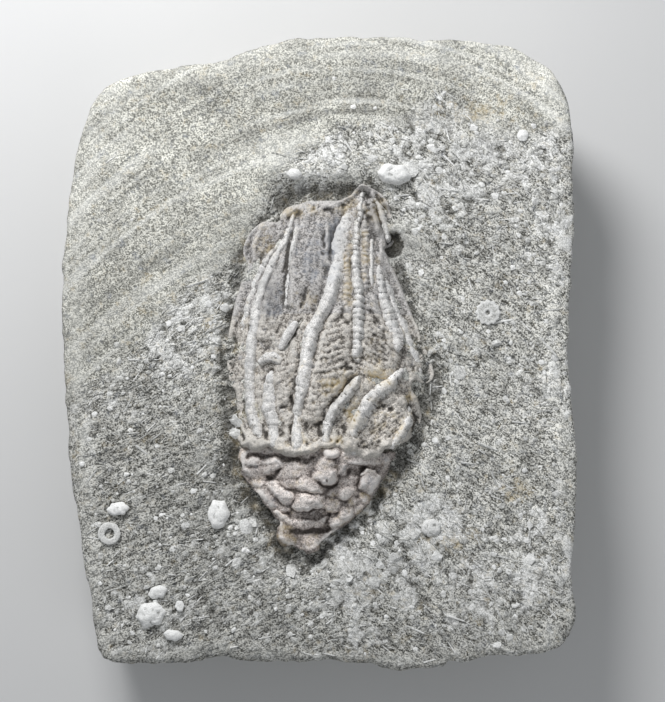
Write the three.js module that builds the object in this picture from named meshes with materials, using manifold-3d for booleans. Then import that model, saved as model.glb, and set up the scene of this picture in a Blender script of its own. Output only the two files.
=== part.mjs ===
// A crinoid crown lying on the slab of limestone that it was prepared out of.
// Millimetres. +Z points out of the display face, +Y runs along the crown towards the arm tips.
// The origin is on the flat back, under the middle of the slab.
import * as THREE from 'three';
import { mergeVertices } from 'three/addons/utils/BufferGeometryUtils.js';
import Module from 'manifold-3d';

const wasm = await Module();
wasm.setup();

// ---- driving dimensions ----
const FACE_LEVEL = 22;         // height of the display face over the back
const GAP = 0.3;               // gap kept between two pieces that touch
const DIRECTIONS = 48;         // spokes of the slab's mesh, 7.5 degrees apart
const RIM_INSET = 1.4;         // how far the worn top edge stands inside the widest outline
const RIM_DROP = 1.8;          // height of that worn edge
const BACK_INSET = 2.6;        // how far the back's edge stands inside the widest outline
const WALL_LEVELS = [0.62, 0.3];  // heights of the rough wall's two bends, as parts of the face level
const WALL_BENDS = [0.1, 1.3];    // how far those bends stand in from the widest outline
const WALL_CHIPS = [[0.5, 7, 2], [0.3, 17, 1]];  // depth, count round the wall and turn of its chips
const FACE_ROLL = [0.5, 0.3];  // height of the face's broad roll and of its narrow one
const BROAD_ROLL = [15, 19];   // how slowly they change along X and along Y
const NARROW_ROLL = [21, 9];

const CROWN_MIDDLE = new THREE.Vector2(2, -3);
const MOAT_DEPTH = 1.9;        // recess dug round the crown
const MOAT_WIDTH = 6;
const MOAT_START = 0.5;        // flat floor of the recess beside the crown
const LEDGE_HEIGHT = 1.1;      // the step of rock left standing above the arm tips
const LEDGE_AT = 30.6;         // where that step begins
const LEDGE_STEP = 1.6;        // length over which it climbs
const LEDGE_FADE = [6, 16];    // how far past its start it begins and ends to fade out
const LEDGE_MIDDLE = 3;        // X of its middle
const LEDGE_REACH = 17;        // half its length
const LEDGE_TAPER = 7;         // how much of that it fades out over
const DOME_POWER = 2.4;        // how square-shouldered the crown's swell is

// rings of the slab's mesh: as parts of the crown's reach, as distances outside it, then as parts of
// the way from there to the rim
const CROWN_RINGS = [0, 0.45, 0.75, 0.93];
const MOAT_RINGS = [0, 1.5, 4, 7];
const FACE_RINGS = [0.3, 0.55, 0.8];

// rise of the rock that fills the crown, over the recess, from the foot to the arm tips
const DOME_STATIONS = [[-37, 1.6], [-32, 4.2], [-24, 6.4], [-12, 6.6], [4, 5.6], [18, 3.8], [30, 1.8]];

// the slab seen from above, clockwise from its upper left corner
const SLAB_CORNERS = [
  [-41.5, 43.5], [-37.5, 49], [-23, 52.5], [-9, 56.5], [5.5, 57.4], [22, 56.6], [35, 55.6],
  [42, 51.5], [45, 44], [45.7, 30], [44.8, 9], [44.6, -5], [46.1, -17], [45.6, -34],
  [45.2, -49], [41, -53.6], [34, -53.3], [27, -56], [17, -57.3], [8, -56], [-4, -55.7],
  [-8.5, -54.4], [-15, -55.4], [-19, -54], [-26, -56], [-37, -55], [-41, -51.5],
  [-42, -38], [-44.6, -20], [-46.1, 2], [-46, 17], [-43.2, 37],
];

// the crown seen from above, clockwise from the arm tips
const CROWN_CORNERS = [
  [7.6, 30.6], [11, 27.5], [13, 20], [14.5, 12], [17, 4], [19.6, -2], [19.6, -6.5], [17.6, -13],
  [15, -17.5], [12.3, -21], [9.6, -25.5], [7.2, -29], [3, -32.5], [-1.5, -36.6], [-6.5, -35],
  [-8, -30.5], [-11.5, -25.5], [-14.8, -20.5], [-15.2, -12], [-15.8, -2], [-14.8, 8],
  [-12.8, 17], [-9.5, 23.5], [-5, 28], [1, 29.6],
];

// the cup: its outline, then its plates as [x, y, half width, half height, tilt in degrees]
const CALYX_MIDDLE = new THREE.Vector2(-1, -23.5);
const CALYX_CORNERS = [
  [-13.5, -17], [-6, -17], [2, -16.5], [9, -17], [14, -17.5], [12.2, -20.6], [9.8, -25], [6.8, -28.8],
  [2.6, -32], [-1.5, -35], [-6, -34], [-7.2, -30], [-10.5, -26], [-13.6, -21.4],
];
const CALYX_RISE = 1.2;        // body of the cup over the rock it lies on
const CALYX_RINGS = [0, 0.45, 0.8, 1];  // rings of that body's mesh, as parts of its reach
const CALYX_SIDES = 24;
const CALYX_FALL = 0.9;        // how much of its rise is lost at its outline, squared
const PLATE_RISE = 1.5;        // how far a plate swells over the body
const PLATE_SWELL = 0.2;       // how much more a wider plate does, as a part of its smaller half
const PLATE_LEVEL = 0.6;       // height of a plate's middle, as a part of the body's rise
const PLATES = [
  [-13.2, -18.2, 1.7, 1.6, 0], [-10.4, -17.3, 1.9, 1.4, 10], [-6, -17.3, 2.1, 1.3, -6],
  [-2.4, -17, 2.2, 1.3, 6], [2.1, -18.4, 1.9, 2.1, 0], [5.7, -18, 2, 1.5, 12],
  [9, -17.6, 2.1, 1.4, 8], [12.3, -18.5, 1.6, 1.1, 30],
  [-12.6, -21, 1.7, 1.6, -40], [-8.6, -20.4, 2, 1.5, -10], [-4.2, -20.6, 3, 1.4, -4],
  [1, -21.4, 1.9, 1.9, 0], [3.9, -20.9, 1.2, 1.7, 5], [7, -20.6, 2.3, 1.5, 10],
  [-9, -24.6, 2.5, 2, -35], [-5.4, -23.6, 1.6, 1.3, -20], [-1.7, -23.7, 2.3, 1.3, 4],
  [4.8, -24, 1.6, 1.5, 0], [8.7, -23, 1.5, 2.3, -22],
  [-1.9, -26.4, 2.5, 1.4, -4], [1.9, -26.8, 1.3, 1.5, 0], [5, -27.7, 1.8, 1.5, 25],
  [-6.6, -28, 1.8, 1.5, -35], [-2.4, -29, 3.1, 1.3, 2], [2.8, -30.2, 1.9, 1.2, 28],
  [-6.2, -32.4, 1.7, 2.3, 10], [-1.6, -33.6, 1.9, 2, 20],
];

// Arms, walls and brushes. Each stop is [x, y, half width] along the middle of the piece; lift is
// how high its middle runs over the rock and flat is its thickness, both as parts of the half width.
const LIMBS = [
  { name: 'arm_left_main', look: 'arm', lift: 0.5, flat: 1, stops: [
    [-5, 26, 0.7], [-5.8, 22.8, 0.8], [-7.3, 19.4, 0.9], [-9.2, 15.7, 1], [-10.6, 11.9, 1.2], [-11.5, 7.6, 1.3],
    [-12.2, 3.4, 1.4], [-12.5, -1.1, 1.4], [-12.7, -6, 1.4], [-12.5, -10, 1.5], [-11.8, -12.6, 1.5],
    [-10.5, -14.4, 1.3]] },
  { name: 'arm_centre', look: 'arm', lift: 0.45, flat: 1, stops: [
    [5.6, 27.4, 1], [4.7, 24, 1.6], [3.6, 20.6, 1.8], [3, 17, 1.8], [2.6, 13.4, 1.7], [1.6, 10, 1.7],
    [-0.2, 6.8, 1.7], [-1.7, 3.4, 1.7], [-2.3, -0.4, 1.7], [-2.8, -4.5, 1.6], [-3.8, -8.2, 1.4], [-4.3, -10.6, 1]] },
  { name: 'arm_middle_upper', look: 'arm', lift: 0.9, flat: 1, stops: [
    [7.7, 29.9, 0.6], [7.3, 27, 0.6], [6.7, 23.5, 0.7], [6.4, 20, 0.8], [6.4, 16, 1], [6.7, 12, 1.1],
    [7.1, 8.5, 1.2], [7, 5.5, 1.2], [6.7, 2, 1.2], [6.6, -1.4, 1.2]] },
  { name: 'arm_middle_lower', look: 'arm', lift: 0.7, flat: 1, stops: [
    [6.6, -4.4, 1.2], [5.7, -6.7, 1.3], [3.6, -8.1, 1.2], [2.1, -9.6, 1.2], [1.2, -12, 1.2], [0.5, -14.4, 1]] },
  { name: 'arm_right_inner', look: 'arm', lift: 0.6, flat: 1, stops: [
    [10.4, 16.4, 0.6], [10.6, 13.6, 0.7], [11, 11, 0.9], [11.9, 7.6, 1.1], [12.9, 4.3, 1.2], [13.9, 1, 1.1]] },
  { name: 'arm_right_outer', look: 'arm', lift: 0.5, flat: 1, stops: [
    [11.9, 15.4, 0.5], [12.9, 12.2, 0.8], [14.4, 8, 0.9], [16.1, 3.9, 1], [17.8, -0.4, 1], [19, -4, 0.9]] },
  { name: 'arm_right_lower', look: 'arm', lift: 0.6, flat: 1, stops: [
    [15.2, -3.4, 1], [13.4, -4.7, 1.2], [11.2, -6.1, 1.3], [9.2, -7.6, 1.3], [7.9, -9.8, 1.3], [6.8, -12, 1.4],
    [5.4, -14.6, 1.2]] },
  { name: 'arm_right_rim', look: 'arm', lift: 0.4, flat: 1, stops: [
    [15.8, -7.7, 0.7], [16.6, -10.1, 0.9], [16.4, -12.8, 1], [14.9, -15, 1], [13, -16.4, 0.8]] },
  { name: 'arm_left_short', look: 'arm', lift: 0.4, flat: 0.9, stops: [
    [-8.7, -3, 0.8], [-8.8, -5.4, 1], [-9, -8.2, 1.5], [-8.6, -11, 1.5], [-7.6, -13.4, 1.2]] },
  { name: 'arm_left_fork', look: 'arm', lift: 0.5, flat: 0.9, stops: [
    [-10.5, -1.4, 0.7], [-9.3, -0.6, 0.9], [-8.1, -0.6, 0.9], [-7, -1.3, 0.7]] },
  { name: 'arm_left_outer', look: 'arm', lift: 0.3, flat: 1, stops: [
    [-7.4, 20.6, 0.8], [-9.9, 17.6, 0.9], [-11.9, 13.9, 1], [-13.2, 10, 1], [-14.1, 6, 0.9], [-14.8, 2.4, 0.9],
    [-15, -1, 0.8], [-14.7, -5, 0.7]] },
  { name: 'arm_left_ridge', look: 'arm', lift: 1, flat: 1, stops: [
    [-3.9, 25.7, 0.5], [-4.4, 22.3, 0.5], [-5, 19.2, 0.5], [-5.5, 16, 0.5], [-6, 12.4, 0.5], [-6.3, 8.4, 0.5]] },
  { name: 'arm_right_thread', look: 'arm', lift: 0.8, flat: 1, stops: [
    [9.3, 21, 0.5], [9.2, 18, 0.5], [9.2, 15, 0.5], [9.3, 12.4, 0.5]] },
  { name: 'arm_top_hood', look: 'arm', lift: 0.8, flat: 1, stops: [
    [9.2, 29.6, 0.6], [10.6, 27.8, 0.7], [11.4, 25.2, 0.7], [12, 22.6, 0.7], [12.3, 20.8, 0.6]] },
  { name: 'spine_splinter', look: 'arm', lift: 0.8, flat: 0.9, stops: [
    [-4.2, 5.6, 0.5], [-5.5, 3.6, 0.8], [-6.9, 1, 0.5]] },
  { name: 'plate_flap', look: 'sac', lift: 0, flat: 0.5, stops: [
    [-8.8, 22.6, 1.5], [-10.6, 20.4, 2], [-11.9, 17.8, 1.4]] },
  { name: 'sac_wall_middle', look: 'sac', lift: 0.06, flat: 0.3, stops: [
    [-0.9, 26, 3.4], [-1.3, 21.4, 4.2], [-1.8, 17.4, 4.2], [-2.6, 13, 3.6], [-3.7, 8.6, 2.4]] },
  { name: 'sac_wall_left', look: 'sac', lift: 0.1, flat: 0.4, stops: [
    [-6.8, 17, 1], [-7.9, 12.6, 2], [-8.9, 8, 2.4], [-9.6, 3, 2.4]] },
  { name: 'sac_wall_right', look: 'sac', lift: 0.1, flat: 0.4, stops: [
    [9.1, 27, 1.2], [9.5, 24.6, 1.7], [10, 22.6, 1.5]] },
  { name: 'pinnules_middle', look: 'pinnule', lift: 0.06, flat: 0.24, stops: [
    [4.2, 10, 2], [3.2, 4.6, 4], [2.4, 0.4, 4.6], [1.8, -4, 4.8], [0.4, -8, 3.6], [-1.2, -12, 2.4]] },
  { name: 'pinnules_right', look: 'pinnule', lift: 0.08, flat: 0.3, stops: [
    [9, 10, 1.6], [9.8, 5.4, 2.8], [10.6, 0.6, 4], [10, -3.4, 3.4]] },
  { name: 'pinnules_left', look: 'pinnule', lift: 0.06, flat: 0.3, stops: [
    [-5.2, 0, 1.9], [-5.9, -4, 2.4], [-6, -8.4, 2.2], [-5.2, -12, 1.6]] },
  { name: 'pinnules_lobe', look: 'pinnule', lift: 0.02, flat: 0.22, stops: [
    [13.2, -7.6, 2.4], [12.4, -10.4, 4.6], [11.4, -13.4, 5], [10.4, -15.4, 3.6]] },
];
const THICK_LIMB = 1.25;       // a limb whose half width passes this has 8 sides, a thinner one 6
const LIMB_STEP = 4.2;         // length of one step along a limb
const LIMB_CAP = 0.5;          // length of a limb's rounded end, as a part of its half width there
const LIMB_CAP_WIDEST = 1.4;   // half width past which that end grows no longer

// Pale pieces lying in the rock: [name, x, y, half width, half height, tilt in degrees]
const FRAGMENTS = [
  ['fragment_top_oval', 13.4, 32.6, 3.2, 1.9, -8],
  ['fragment_top_bean', -4.6, 32.6, 1.3, 0.9, 0],
  ['fragment_left_oval', -18, -28.6, 1.9, 2.8, 0],
  ['fragment_foot_oval', 20, -31, 2, 1.7, 20],
  ['fragment_corner_large', -30, -46.3, 2.9, 2.3, 10],
  ['fragment_corner_upper', -28.9, -42.4, 1.8, 1.1, 20],
  ['fragment_corner_right', -24.9, -44.8, 1.1, 1.1, 0],
  ['fragment_corner_lower', -26, -50, 1.8, 0.9, -10],
  ['fragment_edge_oval', -36.1, -27.6, 2.2, 1.2, 5],
  ['fragment_upper_right', 36.8, 39.8, 1.3, 1.4, 0],
];
const PEBBLE_SIDES = 6;        // sides of a plate or a loose piece, seen from above
const PEBBLE_RINGS = 4;        // and its steps from top to bottom
const FRAGMENT_PROUD = 0.2;    // height of its middle over the rock
const FRAGMENT_FLAT = 0.5;     // thickness of such a piece, as a part of its half width

const RING = { name: 'columnal_ring', x: -37.5, y: -32, radius: 2.2, bore: 0.7, depth: 1.6, worn: 0.5 };
const TOOTHED = {
  name: 'columnal_toothed', x: 30.3, y: 7.6, radius: 2.2, bore: 0.6, depth: 1.4, teeth: 12, tooth: 0.35,
};
const COLUMNAL_PROUD = 0.5;    // how far a columnal stands out of the rock

// ---- materials ----
const LOOKS = {
  rock: new THREE.MeshStandardMaterial({ color: 0x989689, roughness: 0.95, metalness: 0 }),
  arm: new THREE.MeshStandardMaterial({ color: 0xb0aaa2, roughness: 0.75, metalness: 0 }),
  cup: new THREE.MeshStandardMaterial({ color: 0x9c8c82, roughness: 0.7, metalness: 0 }),
  sac: new THREE.MeshStandardMaterial({ color: 0x807b7a, roughness: 0.7, metalness: 0 }),
  pinnule: new THREE.MeshStandardMaterial({ color: 0x9a917f, roughness: 0.85, metalness: 0 }),
  loose: new THREE.MeshStandardMaterial({ color: 0xbcbcb2, roughness: 0.7, metalness: 0 }),
};

// ---- shapes in plan ----
const OUTLINE_SAMPLES = 720;   // places read along an outline
// Distance from a middle to a closed, smoothly rounded outline, for every direction.
function outlineReach(corners, middle) {
  const points = corners.map(([x, y]) => new THREE.Vector3(x, y, 0));
  const curve = new THREE.CatmullRomCurve3(points, true, 'centripetal');
  const polar = curve.getPoints(OUTLINE_SAMPLES).slice(1).map((p) => {
    const x = p.x - middle.x;
    const y = p.y - middle.y;
    return [Math.atan2(y, x), Math.hypot(x, y)];
  });
  polar.sort((a, b) => a[0] - b[0]);
  return (angle) => {
    const turn = Math.atan2(Math.sin(angle), Math.cos(angle));
    const after = polar.findIndex(([other]) => other >= turn);
    const next = polar[after < 0 ? 0 : after];
    const last = polar[(after <= 0 ? polar.length : after) - 1];
    const span = (next[0] - last[0] + 2 * Math.PI) % (2 * Math.PI);
    const part = span > 0 ? ((turn - last[0] + 2 * Math.PI) % (2 * Math.PI)) / span : 0;
    return THREE.MathUtils.lerp(last[1], next[1], part);
  };
}

const crownReach = outlineReach(CROWN_CORNERS, CROWN_MIDDLE);
const slabReach = outlineReach(SLAB_CORNERS, CROWN_MIDDLE);
const calyxReach = outlineReach(CALYX_CORNERS, CALYX_MIDDLE);

// Value at one place of a list of [place, value] stations.
function alongStations(stations, place) {
  const after = stations.findIndex(([at]) => at >= place);
  if (after < 0) return stations[stations.length - 1][1];
  if (after === 0) return stations[0][1];
  const [fromAt, fromValue] = stations[after - 1];
  const [toAt, toValue] = stations[after];
  return THREE.MathUtils.mapLinear(place, fromAt, toAt, fromValue, toValue);
}

// Height of the rock at a place of the display face: flat round about, a recess dug round the
// crown, the swell inside it and the step left standing above the arm tips.
function rockHeight(x, y) {
  const away = Math.hypot(x - CROWN_MIDDLE.x, y - CROWN_MIDDLE.y);
  const reach = crownReach(Math.atan2(y - CROWN_MIDDLE.y, x - CROWN_MIDDLE.x));
  const broad = FACE_ROLL[0] * Math.sin(x / BROAD_ROLL[0] + 1) * Math.cos(y / BROAD_ROLL[1]);
  const roll = broad + FACE_ROLL[1] * Math.sin(y / NARROW_ROLL[1] + x / NARROW_ROLL[0]);
  const aboveTips = THREE.MathUtils.smoothstep(y, LEDGE_AT, LEDGE_AT + LEDGE_STEP);
  const aside = Math.abs(x - LEDGE_MIDDLE);
  const overCrown = 1 - THREE.MathUtils.smoothstep(aside, LEDGE_REACH - LEDGE_TAPER, LEDGE_REACH);
  const fade = 1 - THREE.MathUtils.smoothstep(y - LEDGE_AT, LEDGE_FADE[0], LEDGE_FADE[1]);
  const ledge = LEDGE_HEIGHT * aboveTips * overCrown * fade;
  if (away >= reach) {
    const dug = 1 - THREE.MathUtils.smoothstep(away - reach, MOAT_START, MOAT_WIDTH);
    return FACE_LEVEL + roll - MOAT_DEPTH * dug * (1 - aboveTips) + ledge;
  }
  const swell = 1 - (away / reach) ** DOME_POWER;
  return FACE_LEVEL - MOAT_DEPTH + roll * (away / reach) ** 2 + alongStations(DOME_STATIONS, y) * swell;
}

// ---- solids ----
function toSolid(geometry) {
  const bare = geometry.clone();
  bare.deleteAttribute('normal');
  bare.deleteAttribute('uv');
  const merged = mergeVertices(bare, 1e-4);
  return new wasm.Manifold(new wasm.Mesh({
    numProp: 3,
    vertProperties: new Float32Array(merged.attributes.position.array),
    triVerts: new Uint32Array(merged.index.array),
  }));
}

function toGeometry(solid) {
  const mesh = solid.getMesh();
  const geometry = new THREE.BufferGeometry();
  geometry.setAttribute('position', new THREE.BufferAttribute(mesh.vertProperties, 3));
  geometry.setIndex(new THREE.BufferAttribute(mesh.triVerts, 1));
  geometry.computeVertexNormals();
  return geometry;
}

// A cut can leave chips behind: only the biggest body is the piece.
function biggestBody(solid) {
  return solid.decompose().reduce((best, body) => (body.volume() > best.volume() ? body : best));
}

// A ball whose parallels are laid out by place(angle, ring), from the top pole to the bottom pole.
function ringedSolid(directions, rings, place) {
  const ball = new THREE.SphereGeometry(1, directions, rings);
  const position = ball.attributes.position;
  const uv = ball.attributes.uv;
  for (let i = 0; i < position.count; i += 1) {
    const ring = Math.round((1 - uv.getY(i)) * rings);
    const spoke = Math.round(uv.getX(i) * directions) % directions;
    const point = place((spoke / directions) * 2 * Math.PI, ring);
    position.setXYZ(i, point.x, point.y, point.z);
  }
  return toSolid(ball);
}

// The slab: rings of its face, the worn rim, the broken wall, then the flat back.
function slabSolid() {
  const faceRings = CROWN_RINGS.length + MOAT_RINGS.length + FACE_RINGS.length;
  const rings = faceRings + 2 + WALL_LEVELS.length + 2;
  const faceAt = (angle, away) => {
    const x = CROWN_MIDDLE.x + away * Math.cos(angle);
    const y = CROWN_MIDDLE.y + away * Math.sin(angle);
    return new THREE.Vector3(x, y, rockHeight(x, y));
  };
  const wallAt = (angle, inset, z) => {
    const point = faceAt(angle, slabReach(angle) - inset);
    return point.setZ(z);
  };
  return ringedSolid(DIRECTIONS, rings, (angle, ring) => {
    const crown = crownReach(angle);
    const edge = slabReach(angle) - RIM_INSET;
    let step = ring;
    if (step < CROWN_RINGS.length) return faceAt(angle, crown * CROWN_RINGS[step]);
    step -= CROWN_RINGS.length;
    if (step < MOAT_RINGS.length) return faceAt(angle, crown + MOAT_RINGS[step]);
    step -= MOAT_RINGS.length;
    const start = crown + MOAT_RINGS[MOAT_RINGS.length - 1];
    if (step < FACE_RINGS.length) return faceAt(angle, THREE.MathUtils.lerp(start, edge, FACE_RINGS[step]));
    step -= FACE_RINGS.length;
    const rim = faceAt(angle, edge);
    if (step === 0) return rim;
    if (step === 1) return wallAt(angle, 0, rim.z - RIM_DROP);
    step -= 2;
    const chip = (sum, [depth, count, turn]) => sum + depth * Math.sin(angle * count + step * turn);
    const rough = WALL_CHIPS.reduce(chip, 0);
    if (step < WALL_LEVELS.length) {
      return wallAt(angle, WALL_BENDS[step] + rough, FACE_LEVEL * WALL_LEVELS[step]);
    }
    step -= WALL_LEVELS.length;
    if (step === 0) return wallAt(angle, BACK_INSET + rough, 0);
    return new THREE.Vector3(CROWN_MIDDLE.x, CROWN_MIDDLE.y, 0);
  });
}

// An arm, wall or brush: a capsule bent along its stops, lying on the rock, swollen by extra.
function limbSolid({ stops, lift, flat }, extra) {
  const sides = Math.max(...stops.map(([, , half]) => half)) > THICK_LIMB ? 8 : 6;
  const spans = stops.slice(1).map(([x, y], i) => Math.hypot(x - stops[i][0], y - stops[i][1]));
  const length = spans.reduce((sum, span) => sum + span, 0);
  const steps = Math.max(3, Math.round(length / LIMB_STEP));
  const middle = ([x, y, half]) => new THREE.Vector3(x, y, rockHeight(x, y) + lift * half);
  const path = new THREE.CatmullRomCurve3(stops.map(middle), false, 'centripetal');
  const widths = new THREE.CatmullRomCurve3(stops.map(([, , half], i) => new THREE.Vector3(i, half, 0)));
  const capsule = new THREE.CapsuleGeometry(1, 1, 2, sides, steps);
  const position = capsule.attributes.position;
  const up = new THREE.Vector3(0, 0, 1);
  for (let i = 0; i < position.count; i += 1) {
    const along = THREE.MathUtils.clamp(position.getY(i) + 0.5, 0, 1);
    const past = position.getY(i) + 0.5 - along;
    const half = widths.getPoint(along).y + extra;
    const thick = (half - extra) * flat + extra;
    const ahead = path.getTangent(along);
    const side = new THREE.Vector3().crossVectors(ahead, up).normalize();
    const over = new THREE.Vector3().crossVectors(side, ahead);
    const point = path.getPoint(along);
    point.addScaledVector(side, position.getX(i) * half);
    point.addScaledVector(over, position.getZ(i) * thick);
    point.addScaledVector(ahead, past * (LIMB_CAP * Math.min(half, LIMB_CAP_WIDEST) + extra));
    position.setXYZ(i, point.x, point.y, point.z);
  }
  return toSolid(capsule);
}

// One knobbly plate of the cup, or one loose pale piece: a squashed ball lying on a surface.
function pebble(x, y, halfWidth, halfHeight, tilt, thickness, z) {
  const ball = new THREE.SphereGeometry(1, PEBBLE_SIDES, PEBBLE_RINGS);
  ball.rotateX(Math.PI / 2);
  ball.scale(halfWidth, halfHeight, thickness);
  ball.rotateZ(THREE.MathUtils.degToRad(tilt));
  ball.translate(x, y, z);
  return toSolid(ball);
}

// The cup: a low body over the rock, with its plates grown together on it.
function calyxSolid(extra) {
  const body = ringedSolid(CALYX_SIDES, CALYX_RINGS.length + 1, (angle, ring) => {
    const onTop = ring < CALYX_RINGS.length;
    const level = onTop ? CALYX_RINGS[ring] : 1;
    const away = calyxReach(angle) * level + (level > 0 ? extra : 0);
    const x = CALYX_MIDDLE.x + away * Math.cos(angle);
    const y = CALYX_MIDDLE.y + away * Math.sin(angle);
    const over = (CALYX_RISE + extra) * Math.sqrt(1 - CALYX_FALL * level * level);
    if (onTop) return new THREE.Vector3(x, y, rockHeight(x, y) + over);
    return new THREE.Vector3(CALYX_MIDDLE.x, CALYX_MIDDLE.y, FACE_LEVEL - 2 * MOAT_DEPTH);
  });
  return PLATES.reduce((solid, [x, y, halfWidth, halfHeight, tilt]) => {
    const z = rockHeight(x, y) + PLATE_LEVEL * CALYX_RISE;
    const thickness = PLATE_RISE + extra + PLATE_SWELL * Math.min(halfWidth, halfHeight);
    return solid.add(pebble(x, y, halfWidth + extra, halfHeight + extra, tilt, thickness, z));
  }, body);
}

// A stem disc with a bore, lying flat in the rock.
function ringColumnal(extra) {
  const { x, y, radius, bore, depth, worn } = RING;
  const top = rockHeight(x, y) + COLUMNAL_PROUD + extra;
  const profile = [
    [bore, -depth], [radius, -depth], [radius, -worn], [radius - worn, 0],
    [bore + worn, 0], [bore, -worn], [bore, -depth],
  ].map(([r, z]) => new THREE.Vector2(r, z));
  const ring = new THREE.LatheGeometry(profile, 16);
  ring.rotateX(Math.PI / 2);
  ring.translate(x, y, top);
  return toSolid(ring);
}

// A stem disc whose edge is toothed all round, with a round bore.
function toothedColumnal() {
  const { x, y, radius, bore, depth, teeth, tooth } = TOOTHED;
  const outline = [];
  for (let i = 0; i < teeth * 2; i += 1) {
    const angle = (i / (teeth * 2)) * 2 * Math.PI;
    const reach = i % 2 === 0 ? radius : radius - tooth;
    outline.push(new THREE.Vector2(reach * Math.cos(angle), reach * Math.sin(angle)));
  }
  const shape = new THREE.Shape(outline);
  shape.holes.push(new THREE.Path().absarc(0, 0, bore, 0, 2 * Math.PI, true));
  const disc = new THREE.ExtrudeGeometry(shape, { depth, bevelEnabled: false, curveSegments: 8 });
  disc.translate(x, y, rockHeight(x, y) + COLUMNAL_PROUD - depth);
  return toSolid(disc);
}

// ---- assembly ----
const fossil = new THREE.Group();
const slab = slabSolid();
const socket = slab.translate([0, 0, GAP]);

function addPiece(name, look, solid) {
  const mesh = new THREE.Mesh(toGeometry(solid), LOOKS[look]);
  mesh.name = name;
  fossil.add(mesh);
}

// Every piece of the crown stops short of the rock and of the pieces placed before it.
const placed = [];
function addOnRock(name, look, solid, swollen) {
  const bed = placed.reduce((left, other) => left.subtract(other), solid.subtract(socket));
  addPiece(name, look, biggestBody(bed));
  placed.push(swollen);
}

addPiece('matrix_slab', 'rock', slab);
const arms = LIMBS.filter(({ look }) => look === 'arm');
const skins = LIMBS.filter(({ look }) => look !== 'arm');
arms.forEach((limb) => addOnRock(limb.name, limb.look, limbSolid(limb, 0), limbSolid(limb, GAP)));
addOnRock('calyx', 'cup', calyxSolid(0), calyxSolid(GAP));
skins.forEach((limb) => addOnRock(limb.name, limb.look, limbSolid(limb, 0), limbSolid(limb, GAP)));
FRAGMENTS.forEach(([name, x, y, halfWidth, halfHeight, tilt]) => {
  const thickness = FRAGMENT_FLAT * Math.max(halfWidth, halfHeight);
  const z = rockHeight(x, y) + FRAGMENT_PROUD;
  const swollen = pebble(x, y, halfWidth + GAP, halfHeight + GAP, tilt, thickness + GAP, z);
  addOnRock(name, 'loose', pebble(x, y, halfWidth, halfHeight, tilt, thickness, z), swollen);
});
addOnRock(RING.name, 'loose', ringColumnal(0), ringColumnal(GAP));
addOnRock(TOOTHED.name, 'loose', toothedColumnal(), toothedColumnal());

// The origin goes under the middle of the slab's widest outline.
const box = new THREE.Box3().setFromObject(fossil);
const centre = box.getCenter(new THREE.Vector3());
fossil.position.set(-centre.x, -centre.y, 0);

export default fossil;
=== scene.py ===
"""A crinoid crown standing proud of the limestone slab that it was prepared out of.

Lengths inside the script are in millimetres and become metres when a mesh is made.
+X is right, +Y runs from the cup to the arm tips and +Z points out of the display face.
The last number in a call to lattice, fractal or pebbled is its seed. Each effect has seeds of its
own, so that no two patterns run together.
"""
import math

import bmesh
import bpy
import numpy as np
from mathutils import Matrix, Vector
from mathutils.bvhtree import BVHTree


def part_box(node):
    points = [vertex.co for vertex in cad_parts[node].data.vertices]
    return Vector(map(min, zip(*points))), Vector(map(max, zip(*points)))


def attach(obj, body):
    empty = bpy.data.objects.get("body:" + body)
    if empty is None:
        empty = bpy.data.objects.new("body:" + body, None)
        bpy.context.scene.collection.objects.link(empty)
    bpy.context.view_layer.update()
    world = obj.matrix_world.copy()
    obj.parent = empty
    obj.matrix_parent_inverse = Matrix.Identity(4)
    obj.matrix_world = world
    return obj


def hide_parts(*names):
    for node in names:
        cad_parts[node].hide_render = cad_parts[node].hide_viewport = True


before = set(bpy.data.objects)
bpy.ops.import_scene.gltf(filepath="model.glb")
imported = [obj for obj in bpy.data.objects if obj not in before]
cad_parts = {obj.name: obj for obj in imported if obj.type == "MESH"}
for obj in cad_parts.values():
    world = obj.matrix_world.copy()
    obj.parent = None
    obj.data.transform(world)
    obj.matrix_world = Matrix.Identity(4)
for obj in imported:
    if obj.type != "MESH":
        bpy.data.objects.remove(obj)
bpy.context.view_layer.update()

MM = 0.001
SLAB = "matrix_slab"

# ---- driving dimensions, in millimetres ----
FACE_CELLS = (228, 284)       # cells across and along the slab's face
WALL_ROWS = 20
BACK_STEPS = (0.97, 0.9, 0.75, 0.5, 0.25)     # how far out each ring of the back lies
RIM_LEVEL = 19.6              # height at which the slab's outline is read
RIM_SPREAD = 1.008
RIM_SHIFT = 0.55
FOOT_INSET = 0.7              # how far the slab's foot side is broken back
HULL_REACH = 120              # a ray that starts this far out is outside the object
SKY = 100                     # a ray that starts this high is above the object
MOAT_SINK = 1.3               # how far the slab's face drops under the crown
BED_CELL = 0.16               # between the arms
BED_MARGIN = 2.0
BED_SPLIT = 6.9               # where the sac's surface gives way to the side branches
BED_FLOOR = 16.0
BED_FOOT = -20.5              # y where the bed ends, under the cup
BED_SINK = 0.9                # how far the bed lies below its solids, and how far it swells back
BED_SWELL = 1.3
LEDGE_LIFT = 1.7
LEDGE_DROP = 4.5              # how deep the bed is cut off past the ledge
TUBE_STEP = 0.16
TUBE_SIDES = 30
ARM_PRIDE = 0.66              # how much of its solid's height above the ground an arm keeps
ARM_ROOT = 0.45               # how deep its foot is sunk
ROOTED_BELOW = -9.0           # an arm that comes down past this y runs on into the ledge
ARM_SHOULDER = 1.5            # an arm's tip is rounded over this many half widths
CUP_CELL = 0.12
CUP_MARGIN = 1.2
CUP_SINK = 0.75
CUP_CRISPNESS = 4.6           # how sharply one plate gives way to the next
CUP_RELIEF = 1.30
CROWN_CLEAR = 2.3             # loose pieces keep this far from the crown
PIT = (13.4, 19.8, 1.6, 2.6)     # x, y, reach across, reach along

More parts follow.
